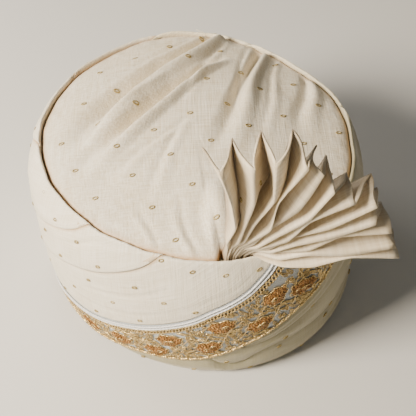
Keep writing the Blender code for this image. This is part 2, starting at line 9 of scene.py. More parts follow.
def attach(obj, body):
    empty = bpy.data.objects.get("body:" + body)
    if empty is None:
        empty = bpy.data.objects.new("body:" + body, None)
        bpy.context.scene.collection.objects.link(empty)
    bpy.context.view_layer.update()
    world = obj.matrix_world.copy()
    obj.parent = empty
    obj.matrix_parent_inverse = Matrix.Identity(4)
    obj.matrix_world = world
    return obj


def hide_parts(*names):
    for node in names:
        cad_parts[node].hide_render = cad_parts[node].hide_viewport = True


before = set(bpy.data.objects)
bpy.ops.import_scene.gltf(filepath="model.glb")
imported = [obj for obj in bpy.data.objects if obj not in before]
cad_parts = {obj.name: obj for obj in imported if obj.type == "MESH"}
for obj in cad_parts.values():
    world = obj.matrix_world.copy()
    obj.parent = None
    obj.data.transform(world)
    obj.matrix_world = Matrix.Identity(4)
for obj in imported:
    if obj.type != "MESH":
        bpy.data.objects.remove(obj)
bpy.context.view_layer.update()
print("frame loaded,", len(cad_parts), "nodes")

# The wall's own numbers, the same as the solids have
body = {
    "radius": 0.128,        # mean, where the wall is widest
    "height": 0.148,        # rim to the top of the lip
    "oval": 0.053, "ovalTurn": -40.7,
    "egg": 0.011, "eggTurn": -45.4,
    "cover": 0.0036,        # outer wraps over the wound core
    "headLength": 0.198, "headWidth": 0.174,
    "middle": (0.00063, 0.00139),
    "gap": 0.0005,
    "moveRows": (3, 8),     # between these rows of the wall the seam's own moves come in
    "steps": 12,
    "seamWander": 0.00035, "seamWaves": ((5, 1.0, 1), (11, 0.8, 0), (23, 0.6, 2)),
}
wall = (
    # height, radius, down, in: shares of height and radius, then the core's place in covers
    (0.000, 0.950, 0.00, 1.00), (0.030, 0.964, 0.00, 1.00), (0.130, 0.977, 0.00, 1.00),
    (0.330, 0.992, 0.00, 1.00), (0.600, 1.000, 0.00, 1.00), (0.800, 0.988, 0.10, 1.00),
    (0.905, 0.963, 0.46, 0.93), (0.955, 0.944, 1.93, 0.48), (0.988, 0.927, 2.95, 0.04),
    (1.000, 0.914, 3.19, -0.22), (0.988, 0.907, 2.53, -0.28), (0.953, 0.905, 0.98, -0.10),
)
seam = (
    # azimuth, share of the seam's mean radius
    (-180, 0.950), (-150, 0.962), (-120, 0.994), (-95, 1.016), (-76, 1.026), (-48, 1.020),
    (-10, 1.002), (16, 1.014), (40, 0.974), (60, 0.974), (80, 0.984), (104, 0.980),
    (130, 0.946), (158, 0.938), (180, 0.950),
)
edges = {
    # azimuth, climb as a share of height
    "borderLow": (
        (-140, 0.000), (-130, 0.034), (-120, 0.075), (-110, 0.105), (-100, 0.132), (-91, 0.158),
        (-84, 0.203), (-78, 0.257), (-70, 0.335), (-65, 0.400), (-60, 0.475), (-54, 0.556),
        (-50, 0.620), (-46, 0.700), (-38, 0.860), (-26, 1.120),
    ),
    "borderHigh": (
        (-192, 0.000), (-180, 0.055), (-165, 0.135), (-150, 0.210), (-140, 0.250), (-129, 0.298),
        (-120, 0.345), (-111, 0.395), (-102, 0.462), (-93, 0.550), (-87, 0.632), (-81, 0.705),
        (-76, 0.775), (-72, 0.845), (-68, 0.920), (-60, 1.120),
    ),
    "selvedge": (
        (-218, 0.000), (-205, 0.100), (-190, 0.225), (-175, 0.352), (-162, 0.462), (-150, 0.568),
        (-138, 0.662), (-130, 0.718), (-118, 0.820), (-107, 0.930), (-95, 1.120),
    ),
    "leftEdge": (
        (-252, 0.000), (-235, 0.130), (-205, 0.385), (-175, 0.622), (-160, 0.742), (-148, 0.838),
        (-138, 0.925), (-124, 1.120),
    ),
    "backEdge1": ((-294, 0.000), (-250, 0.370), (-205, 0.760), (-168, 1.120)),
    "backEdge2": ((-336, 0.000), (-292, 0.365), (-247, 0.750), (-209, 1.120)),
    "rightEdge": ((-14, 0.000), (25, 0.330), (70, 0.730), (113, 1.120)),
    "rollLow": (
        (-88, 0.175), (-84, 0.100), (-80, 0.068), (-76, 0.082), (-72, 0.140), (-66, 0.192),
        (-57, 0.212), (-49, 0.218), (-42, 0.232), (-34, 0.272), (-10, 0.450), (20, 0.680),
        (45, 0.880), (72, 1.120),
    ),
    "rollHigh": (
        (-79, 0.247), (-74, 0.252), (-68, 0.272), (-60, 0.335), (-51, 0.430), (-43, 0.515),
        (-30, 0.625), (-15, 0.755), (0, 0.890), (20, 1.120),
    ),
}
boundBefore = {"rollLow": "borderLow", "rollHigh": "borderLow"}
raised = {
    # how much higher than their solids the edges stand at the front: azimuth, half width, metres
    "borderHigh": (-94, 48, 0.0068), "borderLow": (-70, 34, 0.0060),
    "rollLow": (-70, 34, 0.0060), "rollHigh": (-70, 34, 0.0060),
}


# A smooth curve through a table's points, without overshoot
def through(table, place):
    rows = np.asarray(table, float)
    x, y = rows[:, 0], rows[:, 1]
    rise = np.diff(y) / np.diff(x)
    both = rise[:-1] * rise[1:]
    total = np.where(both > 0, rise[:-1] + rise[1:], 1.0)
    slope = np.concatenate((rise[:1], np.where(both > 0, 2 * both / total, 0.0), rise[-1:]))
    place = np.clip(np.asarray(place, float), x[0], x[-1])
    k = np.clip(np.searchsorted(x, place, side="right") - 1, 0, len(x) - 2)
    run = x[k + 1] - x[k]
    t = (place - x[k]) / run
    ends = y[k] * (1 + 2 * t) * (1 - t) ** 2 + y[k + 1] * t * t * (3 - 2 * t)
    return ends + run * t * (1 - t) * ((1 - t) * slope[k] - t * slope[k + 1])


def contourRows():
    place = np.linspace(0, len(wall) - 1, (len(wall) - 1) * body["steps"] + 1)
    high, wide, down, inward = (
        through([(i, row[column]) for i, row in enumerate(wall)], place) for column in range(4))
    high, wide = high * body["height"], wide * body["radius"]
    climb = np.concatenate(([0.0], np.cumsum(np.hypot(np.diff(high), np.diff(wide)))))
    first, last = body["moveRows"]
    follow = np.clip((place - first) / (last - first), 0, 1)
    return climb, high, wide, down * body["cover"], inward * body["cover"], follow


contour = contourRows()
fullClimb = contour[0][-1]
degree = math.radians(1.0) * body["radius"]     # metres of wall in one degree
coreTop = contour[1][-1] - contour[3][-1]


def plan(azimuth):
    return (1 + body["oval"] * np.cos(np.radians(2 * (azimuth - body["ovalTurn"])))
            + body["egg"] * np.cos(np.radians(3 * (azimuth - body["eggTurn"]))))


def seamMove(azimuth):
    turned = (azimuth + 180.0) % 360.0 - 180.0
    angle = np.radians(turned)
    uneven = sum(size * np.sin(lobes * angle + phase) for lobes, size, phase in body["seamWaves"])
    return (through(seam, turned) - 1) * body["radius"] * wall[-1][1] + body["seamWander"] * uneven


def polar(azimuth, radius, height):
    angle = np.radians(azimuth)
    x = radius * np.cos(angle) + body["middle"][0]
    y = radius * np.sin(angle) + body["middle"][1]
    return np.stack(np.broadcast_arrays(x, y, height), axis=-1)


# A point of the wall at a depth under its outer face; past the seam it goes straight down
def wallPoint(azimuth, climb, depth=0.0):
    azimuth, climb, depth = np.broadcast_arrays(
        np.asarray(azimuth, float), np.asarray(climb, float), np.asarray(depth, float))
    high, wide, down, inward, follow = (np.interp(climb, contour[0], row) for row in contour[1:])
    share = depth / np.hypot(down, inward)
    wide = (wide - share * inward) * plan(azimuth) + follow * seamMove(azimuth)
    past = np.maximum(climb - fullClimb, 0.0)
    return polar(azimuth, wide, high - share * down - past)


def coreDepth(climb):
    return np.hypot(*(np.interp(climb, contour[0], row) for row in contour[3:5]))


# How far the wall has turned over the lip, 0 to 1
def under(climb):
    return np.interp(climb, contour[0], contour[3]) / coreDepth(climb)


def seamRadius(azimuth):
    return contour[2][-1] * plan(azimuth) + seamMove(azimuth)


def edgeClimb(edge, azimuth):
    azimuth = np.asarray(azimuth, float)
    climb = through(edges[edge], azimuth) * body["height"]
    if edge in raised:
        middle, halfWidth, height = raised[edge]
        climb = climb + height * bell((azimuth - middle) / halfWidth)
    if edge in boundBefore:
        before = edgeClimb(boundBefore[edge], azimuth)
        climb = np.where(azimuth < edges[edge][0][0], before, climb)
    return climb


def lastAzimuth(edge):
    fine = np.linspace(edges[edge][0][0], edges[edge][-1][0], 3000)
    return fine[edgeClimb(edge, fine) < fullClimb][-1]


# Soft seeded unevenness, about -1 to 1
def waves(x, y, seed, low=1.0, high=3.0, count=7):
    dice = np.random.default_rng(seed)
    total = 0.0
    for _ in range(count):
        turn, size, phase = dice.uniform(0, 2 * math.pi), dice.uniform(low, high), dice.uniform(0, 7)
        total = total + np.sin((x * math.cos(turn) + y * math.sin(turn)) * size + phase)
    return total / math.sqrt(count)


def bell(value):
    return (1 - np.minimum(np.abs(value), 1.0) ** 2) ** 2


# Making meshes
def addMesh(name, points, faces, material, uv=None, shade=None):
    mesh = bpy.data.meshes.new(name)
    mesh.from_pydata(np.asarray(points).reshape(-1, 3).tolist(), [], [list(face) for face in faces])
    if uv is not None:
        mesh.uv_layers.new(name="clothMap").data.foreach_set("uv", uv.reshape(-1))
    if shade is not None:
        mesh.attributes.new("shade", "FLOAT", "POINT").data.foreach_set("value", shade.reshape(-1))
    mesh.shade_smooth()
    mesh.materials.append(material)
    item = bpy.data.objects.new(name, mesh)
    bpy.context.scene.collection.objects.link(item)
    return item


def gridFaces(columns, rows, aroundColumns=False, aroundRows=False):
    i = np.arange(columns if aroundColumns else columns - 1)[:, None]
    j = np.arange(rows if aroundRows else rows - 1)[None, :]
    k, m = (i + 1) % columns, (j + 1) % rows
    return np.stack([i * rows + j, k * rows + j, k * rows + m, i * rows + m], -1).reshape(-1, 4)


# A sheet through a grid of points (columns, rows, 3); around joins the last column to the first
def addGrid(name, points, uv, shade, material, around=False):
    columns, rows = points.shape[:2]
    corners = gridFaces(len(uv), rows)      # around a ring the map has its own last column
    return addMesh(name, points, gridFaces(columns, rows, around), material,
                   uv.reshape(-1, 2)[corners.reshape(-1)], shade)


def applied(item, kind, **settings):
    extra = item.modifiers.new("extra", kind)
    for key, value in settings.items():
        setattr(extra, key, value)
    bpy.context.view_layer.objects.active = item
    bpy.ops.object.modifier_apply(modifier=extra.name)


def meshEdited(item, operate):
    shape = bmesh.new()
    shape.from_mesh(item.data)
    operate(shape)
    shape.to_mesh(item.data)
    shape.free()


def weld(item, reach=1e-6):
    meshEdited(item, lambda shape: bmesh.ops.remove_doubles(shape, verts=shape.verts[:], dist=reach))


def outwards(item):
    meshEdited(item, lambda shape: bmesh.ops.recalc_face_normals(shape, faces=shape.faces[:]))


def dress(item, slotName, *nodes):
    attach(item, "root")
    if nodes:
        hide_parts(*nodes)


def finishCloth(item, thickness, offset, slotName, node):
    print(item.name, "cloth area", round(sum(face.area for face in item.data.polygons), 4), "m2")
    applied(item, "SOLIDIFY", thickness=thickness, offset=offset)
    dress(item, slotName, node)


# Even steps round a circle
def circle(count, whole=2 * math.pi):
    return np.arange(count) * whole / count


# Length along a path, or along each path of a stack
def pathLength(points):
    steps = np.linalg.norm(np.diff(points, axis=-2), axis=-1)
    return np.concatenate((np.zeros_like(steps[..., :1]), np.cumsum(steps, -1)), -1)


# Points turned about the upright axis
def spun(points, turn):
    turned = np.array(points, float)
    turned[:, 0] = points[:, 0] * math.cos(turn) - points[:, 1] * math.sin(turn)
    turned[:, 1] = points[:, 0] * math.sin(turn) + points[:, 1] * math.cos(turn)
    return turned


# Materials
def hexColour(code):
    parts = [int(code[i:i + 2], 16) / 255 for i in (1, 3, 5)]
    return [c / 12.92 if c <= 0.04045 else ((c + 0.055) / 1.055) ** 2.4 for c in parts] + [1.0]


def setInputs(tree, item, inputs):
    for key, value in inputs.items():
        if isinstance(value, bpy.types.NodeSocket):
            tree.links.new(value, item.inputs[key])
        else:
            item.inputs[key].default_value = value


# Adds a node with its settings; inputs are constants or other nodes' outputs
def addNode(tree, kind, settings=None, inputs=None):
    item = tree.nodes.new(kind)
    for key, value in (settings or {}).items():
        setattr(item, key, value)
    setInputs(tree, item, inputs or {})
    return item


def newMaterial(name):
    material = bpy.data.materials.new(name)
    material.use_nodes = True
    return material, material.node_tree, material.node_tree.nodes["Principled BSDF"]


silk = {
    # thread spacing 0.3 mm is finer than a pixel, so it is drawn 1.2 mm wide
    "thread": 0.0012, "slub": 0.030, "cloud": 0.045,
    "contrast": 1.5, "cloudiness": 0.8,
}


# Woven silk: fine threads with uneven slubs, a soft sheen, and a painted shade that makes it browner where
# it is tucked in, folded under or deep in a hollow
def wovenSilk(name, coords, light, dark, paintedShade, sheen, roughness, bump):
    material, tree, principled = newMaterial(name)
    where = addNode(tree, "ShaderNodeTexCoord").outputs[coords]
    threads = []
    for sizes in (("slub", "thread", "thread"), ("thread", "slub", "thread")):
        stretched = addNode(tree, "ShaderNodeMapping", inputs={
            "Vector": where, "Scale": [1 / silk[size] for size in sizes]})
        threads.append(addNode(tree, "ShaderNodeTexNoise", inputs={
            "Vector": stretched.outputs[0], "Scale": 1.0, "Detail": 2.0, "Roughness": 0.6}))
    both = addNode(tree, "ShaderNodeMath", {"operation": "ADD"}, {
        0: threads[0].outputs["Fac"], 1: threads[1].outputs["Fac"]})
    cloud = addNode(tree, "ShaderNodeTexNoise", inputs={
        "Vector": where, "Scale": 1 / silk["cloud"], "Detail": 3.0, "Roughness": 0.55})
    mixed = addNode(tree, "ShaderNodeMath", {"operation": "MULTIPLY_ADD"}, {
        0: both.outputs[0], 1: silk["contrast"], 2: 0.1 - silk["contrast"]})
    tone = addNode(tree, "ShaderNodeMath", {"operation": "MULTIPLY_ADD", "use_clamp": True}, {
        0: cloud.outputs["Fac"], 1: silk["cloudiness"], 2: mixed.outputs[0]})
    ground = addNode(tree, "ShaderNodeMix", {"data_type": "RGBA"}, {
        0: tone.outputs[0], 6: hexColour(dark), 7: hexColour(light)})
    # painted shade: the sheet's 'shade' attribute mixes the cloth towards its last, browner colour, for the
    # shade in folds, tucks, the seam and between the pleats
    tucked = addNode(tree, "ShaderNodeAttribute", {"attribute_name": "shade"})
    colour = addNode(tree, "ShaderNodeMix", {"data_type": "RGBA"}, {
        0: tucked.outputs["Fac"], 6: ground.outputs[2], 7: hexColour(paintedShade)})
    relief = addNode(tree, "ShaderNodeBump", inputs={
        "Height": both.outputs[0], "Strength": 1.0, "Distance": bump})
    setInputs(tree, principled, {
        "Base Color": colour.outputs[2], "Normal": relief.outputs[0], "Roughness": roughness,
        "Specular IOR Level": 0.45, "Sheen Weight": sheen, "Sheen Roughness": 0.4,
        "Sheen Tint": hexColour("#fff6e6")})
    return material


# Each silk's last colour is its painted shade, for folds, tucks and hollows
creamSilk = wovenSilk("creamSilkWoven", "UV", "#f8f0df", "#e2d6bb", "#b9935e", 0.35, 0.46, 0.00034)
crownSilk = wovenSilk("crownSilkWoven", "Object", "#f8efdd", "#dccdae", "#ba8e58", 0.35, 0.48, 0.00034)
# painted shade: a darker and greener copy of the cream silk, for the wraps low on the right that lie in
# shade
shadedSilk = wovenSilk("paintedShadeSilkWoven", "UV", "#efe7d0", "#d6caab", "#77704a", 0.3, 0.50, 0.00024)
starchedSilk = wovenSilk("starchedSilkPleated", "UV", "#efe2c9", "#d6c3a0", "#6e4d28", 0.25, 0.48, 0.00014)
innerCotton = wovenSilk("innerCottonWound", "UV", "#cfc4ab", "#b5a888", "#8a7858", 0.15, 0.85, 0.00030)


# Net on a pale ground: thin threads crossing every 1.3 mm
def borderNetting(name, pitch):
    material, tree, principled = newMaterial(name)
    where = addNode(tree, "ShaderNodeTexCoord").outputs["UV"]
    turned = addNode(tree, "ShaderNodeMapping", inputs={
        "Vector": where, "Rotation": (0, 0, math.radians(45)), "Scale": (1 / pitch, 1 / pitch, 1)})
    parts = addNode(tree, "ShaderNodeSeparateXYZ", inputs={0: turned.outputs[0]})
    threads = []
    for axis in (0, 1):
        step = addNode(tree, "ShaderNodeMath", {"operation": "PINGPONG"}, {
            0: parts.outputs[axis], 1: 0.5})
        threads.append(addNode(tree, "ShaderNodeMath", {"operation": "LESS_THAN"}, {
            0: step.outputs[0], 1: 0.14}))
    net = addNode(tree, "ShaderNodeMath", {"operation": "MAXIMUM"}, {
        0: threads[0].outputs[0], 1: threads[1].outputs[0]})
    cloud = addNode(tree, "ShaderNodeTexNoise", inputs={"Vector": where, "Scale": 120.0, "Detail": 3.0})
    ground = addNode(tree, "ShaderNodeMix", {"data_type": "RGBA"}, {
        0: cloud.outputs["Fac"], 6: hexColour("#8f989f"), 7: hexColour("#bcc2c4")})
    colour = addNode(tree, "ShaderNodeMix", {"data_type": "RGBA"}, {
        0: net.outputs[0], 6: ground.outputs[2], 7: hexColour("#d9dcdc")})
    relief = addNode(tree, "ShaderNodeBump", inputs={
        "Height": net.outputs[0], "Strength": 1.0, "Distance": 0.00012})
    setInputs(tree, principled, {
        "Base Color": colour.outputs[2], "Normal": relief.outputs[0], "Roughness": 0.7,
        "Specular IOR Level": 0.4, "Sheen Weight": 0.2})
    return material


# Metal-wrapped thread: a bright wire wound round a core, so its gloss breaks into small glints. Its colour
# is also mottled between a bright and a dark tone: painted glints on the wire and painted shade in the gaps
# between its windings
def metalThread(name, light, dark, metallic, roughness, grain, bump):
    material, tree, principled = newMaterial(name)
    where = addNode(tree, "ShaderNodeTexCoord").outputs["Object"]
    strands = addNode(tree, "ShaderNodeTexNoise", inputs={
        "Vector": where, "Scale": 1 / grain, "Detail": 2.0, "Roughness": 0.6})
    # painted glints and painted shade: the strands' noise mixes the bright and the dark tone
    tone = addNode(tree, "ShaderNodeMapRange", inputs={
        "Value": strands.outputs["Fac"], "From Min": 0.35, "From Max": 0.65})
    colour = addNode(tree, "ShaderNodeMix", {"data_type": "RGBA"}, {
        0: tone.outputs[0], 6: hexColour(dark), 7: hexColour(light)})
    relief = addNode(tree, "ShaderNodeBump", inputs={
        "Height": strands.outputs["Fac"], "Strength": 1.0, "Distance": bump})
    setInputs(tree, principled, {
        "Base Color": colour.outputs[2], "Normal": relief.outputs[0],
        "Metallic": metallic, "Roughness": roughness})
    return material


netting = borderNetting("borderNetWoven", 0.0013)
silverThread = metalThread("silverCordTwisted", "#f2f0ec", "#c6c7c8", 0.15, 0.42, 0.0008, 0.00010)
goldThread = metalThread("goldBullionWound", "#ffe3a0", "#6f4d1c", 0.62, 0.26, 0.0009, 0.00012)
copperThread = metalThread("copperThreadStitched", "#cf9a56", "#5f3d18", 0.45, 0.36, 0.0008, 0.00016)
butiThread = metalThread("butiGoldThread", "#c9b27a", "#7f7045", 0.45, 0.42, 0.0006, 0.00008)
print("materials made")


# The wraps: each a long strip of cloth whose lower edge is folded under and whose upper
# edge is tucked behind the next strip
wrapColumns = ("node", "below", "above", "start", "turnBelow", "form", "flat", "area")
wraps = {
    "frontWrap": ("front_wrap", "borderHigh", "selvedge", -218, 0, "shingle", (0.36, 0.085), 0.019),
    "sideWrapLower": ("side_wrap_lower", "selvedge", "leftEdge", -252, 0, "shingle", (0.36, 0.055), 0.0145),
    "sideWrapUpper": ("side_wrap_upper", "leftEdge", "backEdge1", -294, 0, "shingle", (0.4, 0.07), 0.0195),
    "backWrapLeft": ("back_wrap_left", "backEdge1", "backEdge2", -336, 0, "shingle", (0.38, 0.065), 0.018),
    "backWrapRight": ("back_wrap_right", "backEdge2", "rightEdge", -14, 1, "shingle", (0.37, 0.06), 0.0165),
    "lowerWrap1": ("lower_wrap_1", "rightEdge", "rollLow", -140, 0, "roll", (0.57, 0.08), 0.0245),
    "lowerWrap2": ("lower_wrap_2", "rollLow", "rollHigh", -88, 0, "roll", (0.36, 0.065), 0.016),
    "lowerWrap3": ("lower_wrap_3", "rollHigh", "borderLow", -79, 0, "roll", (0.22, 0.06), 0.0085),
    "borderBand": ("border_band", "borderLow", "borderHigh", -192, 0, "band", (0.42, 0.056), 0.019),
}
wraps = {name: dict(zip(wrapColumns, row)) for name, row in wraps.items()}
wrapMake = {
    "columnStep": 1.1,      # degrees
    "rowStep": 0.0022,
    "cloth": 0.0006,
    "foldBack": 0.0055,     # how far the folded edge reaches back under the strip
    "tuck": 0.0040,         # how far the upper edge reaches under the next strip
    "seamTuck": 0.0022,
    "narrowest": 0.0016,
    "rimClear": 0.0006,
    "fullWidth": 0.012,     # narrower strips are folded less
    "deepest": 0.0026,
    "longFold": 0.00045, "smallFold": 0.00014, "pucker": 0.00022,
    "crease": 0.00075, "creaseWidth": 0.0045, "ridgeWidth": 0.0040,
    "lip": 0.80,            # the puckers start at this share of the climb
    "foldShade": 0.5, "nearShade": 0.35, "tuckShade": 0.9,
}
forms = {
    # section: share of the width, depth in mm under the outer face
    "shingle": {
        "cloth": creamSilk, "slot": "cream_silk", "creases": 3, "folds": 1.0, "edgeDepth": 0.0,
        "paintedSideShade": 0.0,
        "section": (
            (0.00, 0.10), (0.03, -0.10), (0.14, -0.40), (0.50, 0.00), (0.90, 0.75), (1.0, 1.75))},
    "roll": {               # painted shade: darker and greener low on the right, where these wraps lie in shade
        "cloth": shadedSilk, "slot": "shaded_silk", "creases": 3, "folds": 1.5, "edgeDepth": 0.0009,
        "paintedSideShade": 0.72,
        "section": (
            (0.00, 1.60), (0.05, 0.70), (0.20, -0.40), (0.50, -1.30), (0.80, -0.10), (0.95, 1.20),
            (1.0, 2.2))},
    "band": {
        "cloth": netting, "slot": "border_net", "creases": 0, "folds": 0.3, "edgeDepth": 0.0009,
        "paintedSideShade": 0.0,
        "section": ((0.00, 1.10), (0.03, 0.35), (0.50, 0.25), (0.97, 0.35), (1.0, 1.30))},
}
# Shares of foldBack and of tuck, with depths in mm
foldUnder = ((1.0, 1.80), (0.55, 1.75), (0.20, 1.70), (0.04, 1.45), (0.0, 1.00), (0.02, 0.45))
tuckUnder = ((0.35, 2.1), (0.7, 2.3), (1.0, 2.4))


def wrapLast(make):
    return lastAzimuth(make["below"]) + 360 * make["turnBelow"]


def wrapEdges(make, azimuth):
    low = edgeClimb(make["below"], azimuth - 360 * make["turnBelow"])
    high = edgeClimb(make["above"], azimuth)
    return (np.clip(edge, wrapMake["rimClear"], fullClimb) for edge in (low, high))


def wrapDepth(make, share, low, high):
    width = high - low
    climb = low + width * share
    step = 0.001 * np.minimum(1.0, width / 0.014)
    depth = through(forms[make["form"]]["section"], share) * step * (1 - 0.55 * under(climb))
    return climb, depth


# Long tension folds, narrow creases that run out along the strip, and puckers over the lip
def wrapFolds(form, run, rise, share, width, climb, seed):
    depth = waves(run * 9, rise * 150, seed, 0.5, 1.4) * wrapMake["longFold"]
    depth += waves(run * 26, rise * 210, seed + 1, 0.6, 1.5) * wrapMake["smallFold"]
    dice = np.random.default_rng(seed + 3)
    for _ in range(form["creases"]):
        middle, start, length = dice.uniform(0.25, 0.85), dice.uniform(0, 1), dice.uniform(0.05, 0.13)
        centre = run[0, 0] + start * (run[-1, 0] - run[0, 0])
        line = (share - middle - 0.12 * np.sin((run - centre) * 14 + start * 6)) * width
        ridge = bell((line - wrapMake["ridgeWidth"]) / wrapMake["ridgeWidth"])
        depth += wrapMake["crease"] * bell((run - centre) / length) * (
            bell(line / wrapMake["creaseWidth"]) - 0.6 * ridge)
    lip = np.clip((climb / fullClimb - wrapMake["lip"]) / (1 - wrapMake["lip"]), 0, 1)
    puckers = np.sin(run * 720 + 2.5 * waves(run * 40, 0 * run, seed + 2)) * wrapMake["pucker"] * lip
    # the folds fade at both edges, the puckers at the lower one
    return depth * form["folds"] * bell(2 * share - 1) + puckers * np.clip(share * 6, 0, 1)


def wrapSheet(name, make, seed):
    form = forms[make["form"]]
    azimuth = np.arange(make["start"], wrapLast(make), wrapMake["columnStep"])
    low, high = wrapEdges(make, azimuth)
    wide = high - low > wrapMake["narrowest"]
    azimuth, low, high = (row[wide, None] for row in (azimuth, low, high))
    width = high - low
    share = np.linspace(0, 1, int(width.max() / wrapMake["rowStep"]) + 2) + 0 * azimuth
    climb, depth = wrapDepth(make, share, low, high)
    run = np.radians(azimuth) * body["radius"]
    depth = depth + wrapFolds(form, run, climb - low, share, width, climb, seed)
    fade = np.minimum(1.0, width / wrapMake["fullWidth"])
    reach, deep = np.array(foldUnder).T * ((wrapMake["foldBack"],), (0.001,))
    underClimb = low + reach * fade
    underDepth = deep * fade * (1 - 0.45 * under(underClimb))
    if form["edgeDepth"]:
        underDepth = np.minimum(underDepth + form["edgeDepth"] * fade, wrapMake["deepest"])
    atSeam = high >= fullClimb - 1e-6
    reach, deep = np.array(tuckUnder).T
    tuckClimb = high + reach * np.where(atSeam, wrapMake["seamTuck"], wrapMake["tuck"]) * fade
    turned = 1 - 0.45 * under(np.minimum(tuckClimb, fullClimb))
    tuckDepth = np.where(atSeam, depth[:, -1:], deep * 0.001 * fade * turned)
    # the folded edge, then the outer face, then the tucked edge
    allClimb = np.concatenate((underClimb, climb, tuckClimb), 1)
    points = wallPoint(azimuth, allClimb, np.concatenate((underDepth, depth, tuckDepth), 1))
    rise = np.concatenate((low - underClimb, climb - low, tuckClimb - low), 1)
    # painted shade: the roll wraps are coloured darker and greener towards the lower right, which lies away
    # from the lights, and every strip is coloured browner along its folded edge and where it is tucked
    # under the next one
    shade = form["paintedSideShade"] * np.clip((50 - azimuth) / 70, 0, 1) + 0 * allClimb
    tucked = -1 - len(tuckUnder)
    shade[:, :len(foldUnder)] = np.maximum(shade[:, :len(foldUnder)], wrapMake["foldShade"])
    shade[:, tucked:], shade[:, tucked - 1] = wrapMake["tuckShade"], wrapMake["nearShade"]
    item = addGrid(name, points, np.stack((run + 0 * rise, rise), -1), shade, form["cloth"])
    finishCloth(item, wrapMake["cloth"], -1.0, form["slot"], make["node"])


for index, (name, make) in enumerate(wraps.items()):
    wrapSheet(name, make, 20 + 5 * index)
print("wraps made")


# The wound inside: layers of plain cloth that show on the rim and slant round the hollow
inner = {
    "columns": 220, "bedRows": 46, "sideRows": 60, "rimRows": 56,
    "layer": 0.0024, "layerStep": 0.0007, "slantPitch": 0.021, "slantStep": 0.0013,
    "bedClear": 0.0003, "headClear": 0.0012, "mapRadius": 0.1,
}


def headRadius(azimuth):
    angle = np.radians(azimuth)
    long, wide = body["headLength"] / 2, body["headWidth"] / 2
    return long * wide / np.hypot(long * np.cos(angle), wide * np.sin(angle))


def innerWraps():
    azimuth = circle(inner["columns"], 360.0)[:, None]
    climb = np.linspace(0.0, fullClimb, inner["bedRows"])
    bed = wallPoint(azimuth, climb, coreDepth(climb) + inner["bedClear"])
    outRim, outTop = (np.hypot(*(bed[:, row, :2] - body["middle"]).T)[:, None] for row in (0, -1))
    edge = headRadius(azimuth)
    # top, level with the bed's end
    top = polar(azimuth, outTop + (edge - outTop) * np.array((0.25, 0.5, 0.75, 0.96)), coreTop)
    # hollow, with slanting cloth edges
    height = np.linspace(coreTop - 0.001, 0.0022, inner["sideRows"])
    turn = (height / inner["slantPitch"] + azimuth * 2 / 360.0) % 1.0
    step = np.clip(turn / 0.93, 0, 1) ** 1.5 - np.clip((turn - 0.93) / 0.07, 0, 1)
    soft = waves(azimuth * 0.1, height * 120, 7, 0.5, 1.4) * 0.00016
    side = polar(azimuth, edge + inner["headClear"] - inner["slantStep"] * 0.8 * step + soft, height)
    # rim, with the layers' edges
    part = np.arange(1, inner["rimRows"]) / inner["rimRows"]
    inside = edge + inner["headClear"]
    radius = inside + (outRim - inside) * part
    layer = ((radius - edge) / inner["layer"] + azimuth / 360.0) % 1.0
    lift = inner["layerStep"] * np.abs(2 * layer - 1) ** 3
    lift = lift + np.maximum(waves(azimuth * 0.08, part * 9, 9), 0) * 0.0003
    rim = polar(azimuth, radius, lift * np.minimum(1, 8 * (1 - part)))
    ring = np.concatenate((bed, top, side, rim, bed[:, :1]), 1)
    length = pathLength(ring)
    length = np.concatenate((length, length[:1]))
    around = np.linspace(0, 2 * math.pi * inner["mapRadius"], inner["columns"] + 1)[:, None]
    uv = np.stack((around + 0 * length, length), -1)
    item = addGrid("innerWraps", ring, uv, np.zeros(ring.shape[:2]), innerCotton, around=True)
    weld(item)
    dress(item, "inner_cotton", "inner_wraps")


innerWraps()
print("inner wraps made")


# The crown: one cloth over the top, drawn into folds from its back edge
crown = {
    "wall": 0.0009, "rise": 0.0225, "skirt": 0.0026, "crease": 0.0062, "pinch": 0.12,
    "narrow": 0.6, "round": 2.3, "fall": 0.8, "free": 0.05, "columns": 300, "rows": 96,
    # the edge stands up all round, less at the back, and its last part is turned down
    "edgeLift": 0.0046, "edgeWidth": 0.30, "backLoss": 0.35, "backAzimuth": 155, "backHalf": 75,
    "turnDown": 0.0013, "turnWidth": 0.020,
    "soft": 0.00045, "fine": 0.00016, "pucker": 0.0005, "puckerWidth": 0.10,
}
creases = (
    # from x, from y, to x, to y as shares of the radius, half width, depth, ridge on its
    # right, share of its run before it fades
    (0.18, 0.93, -0.77, -0.04, 0.125, 2.00, 1.25, 0.62),
    (0.06, 0.46, -0.74, -0.35, 0.085, 1.30, 0.85, 0.52),
    (-0.20, -0.16, -0.64, -0.48, 0.065, 0.22, 0.16, 0.30),
    (-0.14, -0.24, -0.36, -0.70, 0.075, 0.16, 0.10, 0.30),
    (0.55, 0.78, 0.10, -0.32, 0.090, 1.05, 0.70, 0.35),
    (0.84, 0.44, 0.66, -0.16, 0.080, 0.55, 0.38, 0.25),
)
fineCreases = (
    (0.10, 0.98, -0.55, 0.42, 0.045, 0.24, 0.16, 0.3),
    (0.02, 0.95, -0.62, 0.58, 0.050, 0.28, 0.18, 0.3),
    (0.30, 0.92, -0.10, 0.10, 0.050, 0.22, 0.15, 0.3),
    (0.46, 0.84, 0.26, 0.02, 0.040, 0.24, 0.15, 0.3),
    (0.66, 0.68, 0.40, -0.30, 0.045, 0.20, 0.14, 0.3),
    (-0.30, 0.30, -0.84, -0.16, 0.045, 0.20, 0.14, 0.3),
    (0.02, -0.98, -0.12, -0.60, 0.045, 0.20, 0.14, 0.2),
    (-0.22, -0.96, -0.34, -0.62, 0.040, 0.14, 0.10, 0.2),
    (0.55, -0.80, 0.42, -0.30, 0.050, 0.18, 0.12, 0.2),
)
bulge = {"x": 0.165, "y": -0.73, "halfLength": 0.24, "halfWidth": 0.135, "height": 1.30}
fanRoot = {"azimuth": -76.5, "width": 0.018, "depth": 0.0064, "play": 0.0010}


